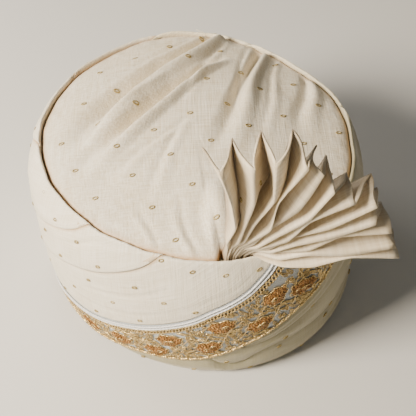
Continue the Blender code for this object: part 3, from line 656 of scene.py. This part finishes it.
def creaseHeight(x, y):
    height = 0.0
    for x1, y1, x2, y2, halfWidth, depth, ridge, hold in creases + fineCreases:
        run = math.hypot(x2 - x1, y2 - y1)
        along = ((x - x1) * (x2 - x1) + (y - y1) * (y2 - y1)) / run
        across = ((x - x1) * (y2 - y1) - (y - y1) * (x2 - x1)) / run
        bend = 0.03 * np.sin(along / run * 5 + x1 * 9)      # no fold runs quite straight
        across = across + bend * np.clip(along / run, 0, 1)
        fade = bell(np.maximum(along / run - hold, 0.0) / (1.1 - hold))
        pinch = crown["pinch"] if math.hypot(x1, y1) > 0.8 else 3 * crown["pinch"]
        fade = fade * bell(np.minimum(along, 0.0) / pinch)
        widen = halfWidth * crown["narrow"] * (1 + np.clip(along / run, 0, 1))
        sharp = 1 - np.abs(np.clip(across / widen, -1, 1)) ** 0.8
        height = height - depth * fade * (0.5 * bell(across / widen) + 0.5 * sharp * bell(across / widen))
        height = height + ridge * fade * bell(across / widen + 1.0)
    far = ((x - bulge["x"]) / bulge["halfWidth"]) ** 2 + ((y - bulge["y"]) / bulge["halfLength"]) ** 2
    return crown["crease"] * (height + bulge["height"] * bell(np.sqrt(far)))


def rimRadius(azimuth):
    edge = seamRadius(azimuth) - body["gap"]
    turned = (azimuth - fanRoot["azimuth"] + 180.0) % 360.0 - 180.0
    beside = np.radians(np.abs(turned)) * edge - fanRoot["width"] / 2 - fanRoot["play"]
    draw = 1 - np.clip(beside / 0.004, 0, 1)
    return edge - (fanRoot["depth"] + 3 * body["gap"]) * draw * draw * (3 - 2 * draw)


def crownHeight(azimuth, share):
    angle = np.radians(azimuth)
    x, y = share * np.cos(angle), share * np.sin(angle)
    inward = 1 - share
    dome = (1 - np.minimum(share, 1.0) ** crown["round"]) ** crown["fall"]
    free = np.clip(inward / crown["free"], 0, 1)
    lift = crown["edgeLift"] * (
        1 - crown["backLoss"] * bell(((azimuth % 360.0) - crown["backAzimuth"]) / crown["backHalf"]))
    height = coreTop + body["gap"] + crown["skirt"] + crown["rise"] * dome
    height = height + lift * np.clip(1 - inward / crown["edgeWidth"], 0, 1) ** 1.5
    height = height - crown["turnDown"] * np.clip(1 - inward / crown["turnWidth"], 0, 1) ** 2
    # creases, soft hollows, and puckers that start at the seam
    loose = creaseHeight(x, y)
    loose = loose + waves(x * 5, y * 5, 41, 0.6, 1.5) * crown["soft"]
    loose = loose + waves(x * 16, y * 16, 43, 0.6, 1.6) * crown["fine"]
    ripple = np.sin(azimuth * 0.62 + 2.2 * np.sin(azimuth * 0.11))
    loose = loose + ripple * np.clip(1 - inward / crown["puckerWidth"], 0, 1) * crown["pucker"]
    return height + free * loose


def crownCloth():
    azimuth = circle(crown["columns"], 360.0)[:, None]
    share = 1 - (1 - np.linspace(0, 1, crown["rows"])) ** 1.15
    top = polar(azimuth, share * rimRadius(azimuth), crownHeight(azimuth, share))
    bottom = coreTop + body["gap"]
    brim = (crownHeight(azimuth, 1.0) - bottom) * np.array((0.66, 0.33, 0.0))
    skirt = polar(azimuth, rimRadius(azimuth), bottom + brim)
    points = np.concatenate((top, skirt), 1)[:, ::-1]     # from the foot, so that faces look out
    uv = np.concatenate((points, points[:1]))[..., :2]
    # painted shade: the cloth is coloured browner close to its edge, where it falls into the dark gap by
    # the lip
    away = np.concatenate((np.zeros(3), (1 - share[::-1]) * 0.115))
    shade = np.exp(-(away / 0.0022) ** 1.2) * 0.95 + 0 * points[..., 0]
    item = addGrid("crownCloth", points, uv, shade, crownSilk, around=True)
    weld(item)
    finishCloth(item, crown["wall"], -1.0, "cream_silk", "crown_cloth")


crownCloth()
print("crown made")


# The fan: one starched strip pleated into 24 folds and tucked in at the seam
fan = {
    "length": 0.100, "lift": 0.0030, "pleat": 0.022, "cloth": 0.0008, "most": 0.5, "forward": 0.0065,
    "middle": 45.0, "panel": 8, "rows": 44, "sheet": 0.0012, "stretch": 0.0045,
    "droop": (0, -0.0050, -0.0052), "firstForward": 0.011,
    "swell": 0.0072, "dent": 0.0032, "smooth": 0.25,
}
folds = (
    # angle from level, length as a share
    (99.8, 1.02), (95.6, 0.90), (90.6, 0.95), (84.0, 0.91), (82.0, 1.02), (78.0, 0.98),
    (73.1, 1.06), (67.2, 0.97), (63.2, 0.98), (61.0, 0.95), (57.6, 0.94), (52.7, 0.88),
    (45.5, 0.91), (42.0, 0.89), (38.8, 1.00), (35.0, 0.96), (31.0, 0.97), (26.5, 0.90),
    (22.8, 0.96), (18.6, 0.98), (13.8, 0.95), (9.6, 0.98), (5.8, 1.00), (2.4, 1.01),
)
foldRows = (
    # reach, depth, spread, forward, bend
    (0.10, 0.36, 0.78, 0.45, 0.0), (0.22, 0.58, 0.81, 1.00, 0.0016),
    (0.42, 0.86, 0.83, 1.00, -0.0030), (0.68, 1.00, 0.86, 1.00, 0.0044), (1.00, 1.00, 1.00, 1.00, 0.0),
)


def foldPoint(index, row):
    angleEnd, length = folds[index]
    side = (index / (len(folds) - 1) - 0.5) * fanRoot["width"]
    rootAzimuth = fanRoot["azimuth"] + math.degrees(side / body["radius"])
    stand = float(seamRadius(rootAzimuth)) - 2 * body["gap"] - fanRoot["depth"] / 2
    height = body["height"] + fan["lift"]
    if row == 0:
        return polar(rootAzimuth, stand, coreTop + body["gap"])
    root = polar(rootAzimuth, stand, height)
    if row == 1:
        return root
    reach, _, spread, forward, _ = foldRows[row - 2]
    angle = math.radians(fan["middle"] + (angleEnd - fan["middle"]) * spread)
    pivot = polar(fanRoot["azimuth"], stand, height)
    run = reach * length * fan["length"]
    place = pivot + (root - pivot) * (1 - reach)
    place = place + np.array((run * math.cos(angle), -fan["forward"] * forward, run * math.sin(angle)))
    place[1] += (pivot[1] - root[1]) * (1 - reach) * forward
    return place


# The fold's line, which stands in front of or behind the pleats' middle
def foldLine(index):
    dice = np.random.default_rng(300 + index)
    angle = math.radians(folds[index][0])
    along = np.array((math.cos(angle), 0, math.sin(angle)))
    across = np.array((-math.sin(angle), 0, math.cos(angle)))
    way = 1 if index % 2 else -1
    last = len(folds) - 1
    sag = (max(index - last + 4, 0) / 4) ** 1.5         # the lowest pleats hang over the lip
    line = []
    for row in range(len(foldRows) + 2):
        centre = foldPoint(index, row)
        if row < 2:
            outward = centre - np.array((*body["middle"], centre[2]))
            outward /= np.linalg.norm(outward)
            swing = fanRoot["depth"] * dice.uniform(0.25, 0.62)
            shift = (dice.uniform(-0.0005, 0.0005), 0, -0.0025 * row)
            line.append(centre + outward * way * swing + shift)
            continue
        reach, deep, _, _, bend = foldRows[row - 2]
        depth = max(deep * fan["pleat"], fanRoot["depth"])
        beside = [foldPoint(other, row) for other in (index - 1, index + 1) if 0 <= other <= last]
        space = sum(np.linalg.norm(place - centre) for place in beside) / len(beside)
        thick = min(fan["cloth"] * math.hypot(depth, space) / space, fan["most"] * depth)
        place = centre - np.array((0, (depth - thick) / 2 * way, 0))
        place += across * bend * (math.sin(index * 1.1) + dice.uniform(-0.5, 0.5))
        place += along * fan["stretch"] * reach * math.sin(angle)
        if index == 0:
            place[1] -= fan["firstForward"] * reach
        place += np.array(fan["droop"]) * sag * math.sin(math.pi * min(reach + 0.12, 1.0) ** 0.8)
        line.append(place)
    return np.array(line)


def fanPoints():
    lines = np.array([foldLine(index) for index in range(len(folds))])
    steps = np.linspace(0, lines.shape[1] - 1, fan["rows"])
    # a little smooth and mostly straight, so that the starched folds keep their breaks
    fine = np.stack([np.stack([
        through(list(enumerate(line[:, axis])), steps) * fan["smooth"]
        + np.interp(steps, np.arange(len(line)), line[:, axis]) * (1 - fan["smooth"])
        for axis in range(3)], -1) for line in lines])
    reach = np.clip((steps - 1) / 5, 0, 1)
    dice = np.random.default_rng(11)
    columns, valley = [], []
    for index in range(len(folds) - 1):
        across = fine[index + 1] - fine[index]
        swell = dice.uniform(-0.6, 1.4) * (1.6 if index < 9 else 0.8)
        for part in range(fan["panel"]):
            c = part / fan["panel"]
            here = fine[index] * (1 - c) + fine[index + 1] * c
            normal = np.cross(across, np.gradient(here, axis=0))
            normal /= np.linalg.norm(normal, axis=1)[:, None] + 1e-9
            dent = np.sin(steps * 2.1 + index * 1.7 + 3 * c) + 0.5 * np.sin(steps * 4.7 + index * 2.9)
            out = fan["swell"] * swell * reach ** 1.5 + fan["dent"] * dent * reach
            columns.append(here + normal * (out * c * (1 - c))[:, None])
            valley.append(c if index % 2 else 1 - c)    # even folds stand at the back
    points, valley = np.array(columns + [fine[-1]]), np.array(valley + [0.0])
    # the outer edge isn't cut quite straight
    tips = points[:, -1] - points[:, -2]
    points[:, -1] += tips * 0.15 * np.sin(np.arange(len(points)) * 0.9)[:, None]
    return points, steps, valley, reach


def fanSheet():
    points, steps, valley, reach = fanPoints()
    along = np.linspace(0, fan["length"], points.shape[1])
    uv = np.stack(np.broadcast_arrays(along[None, :], pathLength(points[:, -1])[:, None]), -1)
    # painted shade: the cloth is coloured browner deep between the pleats, where the shade is warm with
    # light passed through several layers, and at the root
    shade = 0.95 * valley[:, None] ** 1.6 * (1 - 0.45 * reach[None, :])
    shade = np.maximum(shade, np.clip(0.75 - steps / 3, 0, 1)[None, :])
    item = addGrid("fanPleats", points, uv, shade, starchedSilk)
    finishCloth(item, fan["sheet"], 0.0, "starched_silk", "fan")


fanSheet()
print("fan made")


# Shapes for the trims, made flat (x along, y across, z up) and laid on the wall
def tube(path, radius, sides=6, strands=0, turnLength=0.004, depth=0.2, closed=False, lift=(0, 0, 1)):
    path = np.asarray(path, float)
    after = np.roll(path, -1, 0) - np.roll(path, 1, 0)
    if not closed:
        after[0], after[-1] = path[1] - path[0], path[-1] - path[-2]
    after /= np.linalg.norm(after, axis=1)[:, None]
    side = np.cross(lift, after)
    side /= np.linalg.norm(side, axis=1)[:, None] + 1e-9
    up = np.cross(after, side)
    turn = circle(sides)
    twist = strands * turn - pathLength(path)[:, None] / turnLength * 2 * math.pi
    wide = radius * (1 - (depth / 2 * (1 - np.cos(twist)) if strands else 0 * twist))
    points = path[:, None] + side[:, None] * (wide * np.cos(turn))[..., None] \
        + up[:, None] * (wide * np.sin(turn))[..., None]
    faces = gridFaces(len(path), sides, closed, True).tolist()
    if not closed:
        faces += [list(range(sides)), list(range(len(path) * sides))[:-sides - 1:-1]]
    return points.reshape(-1, 3), faces


# Faces of rings that close at a point, and at point 0 too where the rings start after it
def domeFaces(rings, sides, start=0):
    faces = []
    last = start + (rings - 1) * sides
    for j in range(sides):
        m = (j + 1) % sides
        if start:
            faces.append((0, start + m, start + j))
        faces += [(a + j, a + m, a + sides + m, a + sides + j) for a in range(start, last, sides)]
        faces.append((last + j, last + m, last + sides))
    return faces


def bead(centre, sizes, turn=0.0, sides=6, rings=4):
    points = [(0, 0, -1)]
    for ring in range(1, rings):
        angle = math.pi * ring / rings
        for around in 2 * math.pi * (np.arange(sides) + 0.5 * (ring % 2)) / sides:
            wide = math.sin(angle)
            points.append((wide * math.cos(around), wide * math.sin(around), -math.cos(angle)))
    points.append((0, 0, 1))
    return spun(np.array(points) * sizes, turn) + centre, domeFaces(rings - 1, sides, 1)


def oval(long, wide, count, point=0.0, turn=0.0, centre=(0, 0), lift=0.0):
    angle = circle(count)
    y = wide * np.sin(angle) * (1 - point * np.cos(angle))
    flat = np.stack((long * np.cos(angle), y, 0 * angle), 1)
    return spun(flat, turn) + (*centre, lift)


def joined(shapes):
    points, faces, start = [], [], 0
    for own, ownFaces in shapes:
        points.append(own)
        faces += [tuple(index + start for index in face) for face in ownFaces]
        start += len(own)
    return np.concatenate(points), faces


def borderRise(azimuth):
    return edgeClimb("borderHigh", azimuth + 0.5) - edgeClimb("borderHigh", azimuth - 0.5)


def borderTilt(azimuth):
    return math.atan2(float(borderRise(azimuth)), degree * float(plan(azimuth)))


def borderSteep(azimuth):
    return np.hypot(1.0, borderRise(azimuth) / degree)


# Lays flat points on the border round a middle given by azimuth and climb
def onBorder(points, azimuth, climb, lift=0.0):
    laid = spun(points, borderTilt(azimuth))
    along = azimuth + laid[:, 0] / (degree * float(plan(azimuth)))
    return wallPoint(along, climb + laid[:, 1], -lift - laid[:, 2])


def borderClimb(azimuth, below):
    return edgeClimb("borderHigh", azimuth) - below * borderSteep(azimuth)


trims = {
    "first": -178.5, "last": -30.0, "top": 0.98, "bottom": 0.02, "step": 0.0006,
    "cordRadius": 0.0008, "cordLift": 0.0009, "cordTurn": 0.0032, "cordDepth": 0.32,
    "cords": {
        # below the border's upper edge
        "silverCordUpper": ("border_piping_upper", 0.0016),
        "silverCordLower": ("border_piping_lower", 0.0043)},
    "loopBelow": 0.0078, "loopLong": 0.0022, "loopWide": 0.0014, "loopTube": 0.00074,
    "loopPitch": 0.0030, "loopTurn": 0.95, "loopLift": 0.0007,
    "edge": 0.0030, "scallop": 0.0012, "scallopPitch": 0.0085,
    "edgeRadius": 0.0011, "edgeLift": 0.0010, "edgeTurn": 0.0026, "edgeDepth": 0.45,
}


# Evenly spaced places along a line of the border
def borderLine(climbOf, step):
    azimuth = np.linspace(trims["first"], trims["last"], 3000)
    climb = climbOf(azimuth)
    keep = (climb > trims["bottom"] * body["height"]) & (climb < trims["top"] * body["height"])
    azimuth, climb = azimuth[keep], climb[keep]
    length = pathLength(wallPoint(azimuth, climb))
    place = np.arange(0.0, length[-1], step)
    return np.interp(place, length, azimuth), np.interp(place, length, climb), place


def wallCord(name, azimuth, climb, lift, radius, turnLength, depth, material):
    path = wallPoint(azimuth, climb, -lift)
    outward = (wallPoint(azimuth, climb, -lift - 0.001) - path) / 0.001
    return addMesh(name, *tube(path, radius, 10, 2, turnLength, depth, lift=outward), material)


def finishTrim(item, slotName, *nodes):
    outwards(item)
    dress(item, slotName, *nodes)


for name, (node, below) in trims["cords"].items():
    azimuth, climb, _ = borderLine(lambda a: borderClimb(a, below), trims["step"])
    cord = wallCord(name, azimuth, climb, trims["cordLift"], trims["cordRadius"], trims["cordTurn"],
                    trims["cordDepth"], silverThread)
    finishTrim(cord, "silver_cord", node)

# A row of slanted gold loops under the cords
loop = oval(trims["loopLong"], trims["loopWide"], 12, turn=trims["loopTurn"])
loopPoints, loopFaces = tube(loop, trims["loopTube"], 5, closed=True)
azimuth, climb, _ = borderLine(lambda a: borderClimb(a, trims["loopBelow"]), trims["loopPitch"])
loops = [(onBorder(loopPoints, here, level, trims["loopLift"]), loopFaces)
         for here, level in zip(azimuth, climb)]
finishTrim(addMesh("goldLoopRow", *joined(loops), goldThread), "gold_cord", "border_rope_upper")

# Scalloped gold cord along the lower edge
azimuth, climb, place = borderLine(lambda a: edgeClimb("borderLow", a) + trims["edge"], trims["step"])
climb = climb + trims["scallop"] * np.abs(np.sin(place * math.pi / trims["scallopPitch"]))
edgeCord = wallCord("goldEdgeCord", azimuth, climb, trims["edgeLift"], trims["edgeRadius"],
                    trims["edgeTurn"], trims["edgeDepth"], goldThread)
finishTrim(edgeCord, "gold_cord", "border_rope_lower")
print("cords made")


# The border's flowers: dense copper stitches inside a gold bullion outline
flowers = {
    "long": 0.0215, "wide": 0.0150, "point": 0.3, "petals": 7, "lobe": 0.10, "corners": 28,
    # rings of the raised ground: share of the size, height
    "ground": ((0.96, 0.0), (0.93, 0.00055), (0.75, 0.00099), (0.40, 0.001155)), "top": 0.0012,
    "stitches": ((0.84, 26), (0.60, 18), (0.36, 11), (0.12, 4)), "stitch": (0.00125, 0.00058, 0.00055),
    "outline": 0.00062, "curl": 0.00034,
    "places": (
        # azimuth, climb as a share of height
        (-138.0, 0.108), (-122.0, 0.172), (-107.0, 0.200), (-101.0, 0.352), (-87.5, 0.330),
        (-83.0, 0.540), (-71.0, 0.520), (-66.5, 0.732), (-57.0, 0.716)),
}


def petalEdge(turn, grow=1.0):
    size = (1 + flowers["lobe"] * np.cos(flowers["petals"] * turn)) * grow / 2
    x = flowers["long"] * np.cos(turn) * size
    return x, flowers["wide"] * np.sin(turn) * (1 - flowers["point"] * np.cos(turn)) * size


def copperStitches(seed):
    dice = np.random.default_rng(seed)
    turn = circle(flowers["corners"])
    points = [np.stack((*petalEdge(turn, grow), 0 * turn + high), 1) for grow, high in flowers["ground"]]
    points.append(np.array([[0.0, 0.0, flowers["top"]]]))
    shapes = [(np.concatenate(points), domeFaces(len(flowers["ground"]), flowers["corners"]))]
    for ring, count in flowers["stitches"]:
        for j in range(count):
            angle = 2 * math.pi * (j + dice.uniform(0.1, 0.9) * 0.5) / count
            x, y = (float(value) for value in petalEdge(angle, ring * dice.uniform(0.94, 1.04)))
            lean = math.atan2(y, x) + dice.uniform(-0.5, 0.5)
            high = 0.0009 + 0.0006 * (1 - ring) + dice.uniform(-0.0001, 0.0002)
            shapes.append(bead((x, y, high), flowers["stitch"], lean))
    return joined(shapes)


def goldOutline(seed):
    dice = np.random.default_rng(seed + 50)
    turn = circle(84)
    edge = np.stack((*petalEdge(turn, 1.04), 0 * turn + 0.0007), 1)
    shapes = [tube(edge, flowers["outline"], 6, 1, 0.0013, 0.5, closed=True)]
    for _ in range(3):                      # curled gold threads lying on the stitches
        start, size = dice.uniform(-0.006, 0.006), dice.uniform(0.0018, 0.0028)
        s = np.linspace(0, dice.uniform(3.5, 5.5), 16)
        curl = size * (1 - s / 12)
        path = np.stack((start + curl * np.cos(s), 0.7 * curl * np.sin(s), 0 * s + 0.0021), 1)
        shapes.append(tube(path, flowers["curl"], 5))
    return joined(shapes)


for number, (azimuth, share) in enumerate(flowers["places"], 1):
    for name, (points, faces), thread, slotName, nodes in (
            ("flowerStitches", copperStitches(number), copperThread, "copper_thread",
             [f"flower_{number:02d}"]),
            ("flowerOutline", goldOutline(number), goldThread, "gold_cord", [])):
        laid = onBorder(points, azimuth, share * body["height"])
        finishTrim(addMesh(f"{name}{number:02d}", laid, faces, thread), slotName, *nodes)
print("flowers made")

# Gold vines, leaves and small round blossoms that fill the net between the flowers
fill = {
    "leafLong": 0.0034, "leafWide": 0.0013, "leafTube": 0.00042, "veinTube": 0.00040,
    "columnStep": 1.9, "rowStep": 0.004212, "aboveLow": 0.0052, "belowHigh": 0.0118,
    "flowerClear": 1.32, "blossomClear": 0.0046, "perDegree": 0.0022,
    # azimuth, climb
    "blossoms": ((-77.0, 0.089), (-62.0, 0.120), (-64.0, 0.0790), (-90.5, 0.0710), (-112.0, 0.056),
                 (-98.5, 0.029), (-79.0, 0.056), (-128.0, 0.037), (-118.0, 0.0145), (-147.0, 0.022)),
    # two vines that weave past the flowers: phase, strength
    "vines": ((0.0, 0.26), (math.pi, 0.22)), "vineTube": 0.00045,
}


# How far a spot is from the nearest flower, in flower sizes, and the way to it
def flowerFar(azimuth, climb):
    found = []
    for middle, share in flowers["places"]:
        east = (azimuth - middle) * degree * float(plan(middle))
        x, y = spun(np.array([[east, climb - share * body["height"]]]), -borderTilt(middle))[0]
        found.append((math.hypot(x / (flowers["long"] / 2), y / (flowers["wide"] / 2)), math.atan2(y, x)))
    return min(found)


def blossom():
    shapes = [bead((0, 0, 0.0010), (0.0010, 0.0010, 0.0007), sides=8)]
    for angle in circle(6):
        centre = (0.0023 * math.cos(angle), 0.0023 * math.sin(angle))
        shapes.append(tube(oval(0.0012, 0.0008, 9, 0.2, angle, centre, 0.0006), 0.00036, 4, closed=True))
    return joined(shapes)


def fillings():
    dice = np.random.default_rng(5)
    points, faces = blossom()
    shapes = [(onBorder(points, azimuth, climb), faces) for azimuth, climb in fill["blossoms"]]
    leaf = oval(fill["leafLong"], fill["leafWide"], 12, 0.5, lift=0.0005)
    line = np.linspace(-0.0028, 0.0022, 7)
    vein = tube(np.stack((line, 0 * line, 0 * line + 0.0006), 1), fill["veinTube"], 4)
    points, faces = joined((tube(leaf, fill["leafTube"], 4, closed=True), vein))
    for column, here in enumerate(np.arange(-163.0, -34.0, fill["columnStep"])):
        high = float(borderClimb(here, fill["belowHigh"]))
        step = fill["rowStep"] * float(borderSteep(here))
        climb = float(edgeClimb("borderLow", here)) + fill["aboveLow"] + step * 0.5 * (column % 2)
        while climb < high:
            spot = here + dice.uniform(-0.5, 0.5)
            level = climb + dice.uniform(-0.0008, 0.0008)
            climb += step
            if not 0.03 * body["height"] < level < 0.97 * body["height"]:
                continue
            far, around = flowerFar(spot, level)
            near = min(math.hypot((spot - a) * fill["perDegree"], level - c) for a, c in fill["blossoms"])
            if far < fill["flowerClear"] or near < fill["blossomClear"]:
                continue
            lean = around + math.pi / 2 + dice.uniform(-0.6, 0.6)
            shapes.append((onBorder(spun(points, lean), spot, level), faces))
    azimuth = np.arange(-150.0, -56.0, 0.30)
    low, high = edgeClimb("borderLow", azimuth) + 0.004, borderClimb(azimuth, 0.0150)
    run = np.radians(azimuth) * body["radius"]
    for phase, strength in fill["vines"]:
        weave = 0.5 + strength * np.sin(run / 0.0058 + phase) + 0.04 * np.sin(run / 0.0021)
        climb = low + (high - low) * weave
        keep = (climb > 0.004) & (climb < 0.70 * body["height"])
        shapes.append(tube(wallPoint(azimuth[keep], climb[keep], -0.0007), fill["vineTube"], 5))
    return joined(shapes)


finishTrim(addMesh("goldVines", *fillings(), goldThread), "gold_cord")
print("border filled")


# Butis: small open rings of gold thread woven into the silk
butis = {
    "long": 0.0019, "wide": 0.0010, "tube": 0.00055, "alongStep": 0.0450, "acrossStep": 0.0210,
    "crownTurn": 0.15, "wrapTurn": 0.5,
    # on the crown: one of them, and the two steps of their lattice
    "first": (-0.0127, -0.0368), "steps": ((0.0272, 0.0128), (-0.0138, 0.0262)),
}
butiPoints, butiFaces = tube(oval(butis["long"], butis["wide"], 12), butis["tube"], 4, closed=True)


def crownButis():
    shapes = []
    dice = np.random.default_rng(77)
    ring = spun(butiPoints, butis["crownTurn"])
    first, (stepA, stepB) = np.array(butis["first"]), np.array(butis["steps"])
    for a in range(-14, 15):
        for b in range(-9, 10):
            spot = first + a * stepA + b * stepB + dice.uniform(-0.002, 0.002, 2)
            if math.hypot(*spot) / float(rimRadius(math.degrees(math.atan2(spot[1], spot[0])))) > 0.95:
                continue
            flat = ring[:, :2] + spot
            angle = np.degrees(np.arctan2(flat[:, 1], flat[:, 0]))
            height = crownHeight(angle, np.hypot(*flat.T) / rimRadius(angle)) + 0.0001 + ring[:, 2]
            shapes.append((np.concatenate((flat + body["middle"], height[:, None]), 1), butiFaces))
    return joined(shapes)


def wrapButis():
    shapes = []
    ring = spun(butiPoints, butis["wrapTurn"])
    for make in wraps.values():
        if make["form"] == "band":
            continue
        columns = np.arange(make["start"] + 6, wrapLast(make), butis["alongStep"] / degree / 2)
        for column, azimuth in enumerate(columns):
            low, high = (float(edge) for edge in wrapEdges(make, azimuth))
            climb = low + 0.007 + (column % 2) * butis["acrossStep"]
            along = azimuth + ring[:, 0] / (degree * float(plan(azimuth)))
            while climb < min(high - 0.004, 0.93 * fullClimb):
                _, depth = wrapDepth(make, np.array((climb - low) / (high - low)), low, high)
                place = wallPoint(along, climb + ring[:, 1], float(depth) - 0.00012 - ring[:, 2])
                shapes.append((place, butiFaces))
                climb += 2 * butis["acrossStep"]
    return joined(shapes)


# Panel from the left, and place along its middle from the root
fanButiPlaces = (
    (1, 0.62), (3, 0.88), (5, 0.72), (7, 0.60), (9, 0.80), (11, 0.66), (13, 0.86), (15, 0.70),
    (17, 0.84), (19, 0.68), (21, 0.88), (21, 0.56), (22, 0.74), (12, 0.52), (2, 0.80),
)


def fanButis():
    points = fanPoints()[0]
    shapes = []
    for panel, along in fanButiPlaces:
        column = panel * fan["panel"] + fan["panel"] // 2
        row = int(along * (fan["rows"] - 1))
        wide = points[column + 1, row] - points[column - 1, row]
        out = np.cross(wide, points[column, row + 1] - points[column, row - 1])
        wide, out = wide / np.linalg.norm(wide), out / np.linalg.norm(out)
        axes = np.stack((wide, np.cross(out, wide), out))
        for side in (1, -1):            # woven through, so it shows on both faces
            ring = butiPoints[:, [1, 0, 2]] * (1, 1, side)
            shapes.append((points[column, row] + side * out * (fan["sheet"] / 2) + ring @ axes, butiFaces))
    return joined(shapes)


for name, shapes in (("crownButis", crownButis()), ("fanButis", fanButis()), ("wrapButis", wrapButis())):
    finishTrim(addMesh(name, *shapes, butiThread), "gold_cord")
print("butis made")

# A short loose thread where the crown's cloth is gathered at the back
loose = {"azimuth": 82.367, "inside": 0.001, "height": 0.1455, "thick": 0.00022}
strand = np.linspace(0, 1, 12)
start = polar(loose["azimuth"], float(seamRadius(loose["azimuth"])) - loose["inside"], loose["height"])
path = start + np.stack((
    -0.004 * strand + 0.002 * np.sin(strand * 5), 0.003 * strand, 0.0085 * strand - 0.003 * strand ** 3), 1)
points, faces = tube(path, loose["thick"], 5)
thread = addMesh("looseThread", points, faces, creamSilk, np.zeros((sum(len(face) for face in faces), 2)))
finishTrim(thread, "cream_silk")

# Floor, lights and camera
stage = {
    "floor": "#d9d7d2", "sky": "#ebe8e0", "skyStrength": 0.18, "aim": (0, 0, 0.1),
    "lights": {
        # place, size, power, colour
        "keyLight": ((-1.00, -0.45, 0.95), 0.5, 53.0, "#fff3e0"),
        "sideLight": ((-0.95, 0.75, 0.55), 0.5, 6.0, "#fffaf2"),
        "fillLight": ((0.9, -1.0, 0.9), 1.2, 0.3, "#eef3ff"),
    },
}
view = {
    "focal": 799.4, "pixels": 416, "sensor": 36.0, "distance": 0.65, "elevation": 51.0, "roll": -3.24,
    "aim": (0.0102, -0.0094, 0.0676),
}


# Puts a light or camera at a place, with its right and its back turned these ways
def aimed(item, place, right, back):
    axes = np.stack((right, np.cross(back, right), back), 1)
    item.matrix_world = Matrix.Translation(tuple(place)) @ Matrix(axes.tolist()).to_4x4()


bpy.ops.mesh.primitive_plane_add(size=40.0, location=(0, 0, 0))
floor = bpy.context.object
floor.name = "floor"
floorPaint, floorTree, floorShader = newMaterial("paleFloorMatt")
setInputs(floorTree, floorShader, {"Roughness": 0.9, "Base Color": hexColour(stage["floor"])})
floor.data.materials.append(floorPaint)

for name, (place, size, power, colour) in stage["lights"].items():
    bpy.ops.object.light_add(type="AREA", location=place)
    light = bpy.context.object
    light.name = name
    light.data.size = size
    light.data.energy = power
    light.data.color = hexColour(colour)[:3]
    back = np.array(place) - np.array(stage["aim"])
    back /= np.linalg.norm(back)
    right = np.cross((0, 0, 1), back)
    aimed(light, place, right / np.linalg.norm(right), back)
world = bpy.data.worlds.new("softStudio")
bpy.context.scene.world = world
world.use_nodes = True
setInputs(world.node_tree, world.node_tree.nodes["Background"], {
    "Color": hexColour(stage["sky"]), "Strength": stage["skyStrength"]})

rise, roll = math.radians(view["elevation"]), math.radians(view["roll"])
back = np.array((0.0, -math.cos(rise), math.sin(rise)))
right = np.array((math.cos(roll), math.sin(roll) * math.sin(rise), math.sin(roll) * math.cos(rise)))
bpy.ops.object.camera_add()
camera = bpy.context.object
camera.name = "photoCamera"
camera.data.sensor_width = view["sensor"]
camera.data.lens = view["focal"] / view["pixels"] * view["sensor"]
camera.data.clip_start = 0.01
aimed(camera, np.array(view["aim"]) + back * view["distance"] + (*body["middle"], 0.0), right, back)
bpy.context.scene.camera = camera
print("stage, lights and camera made")
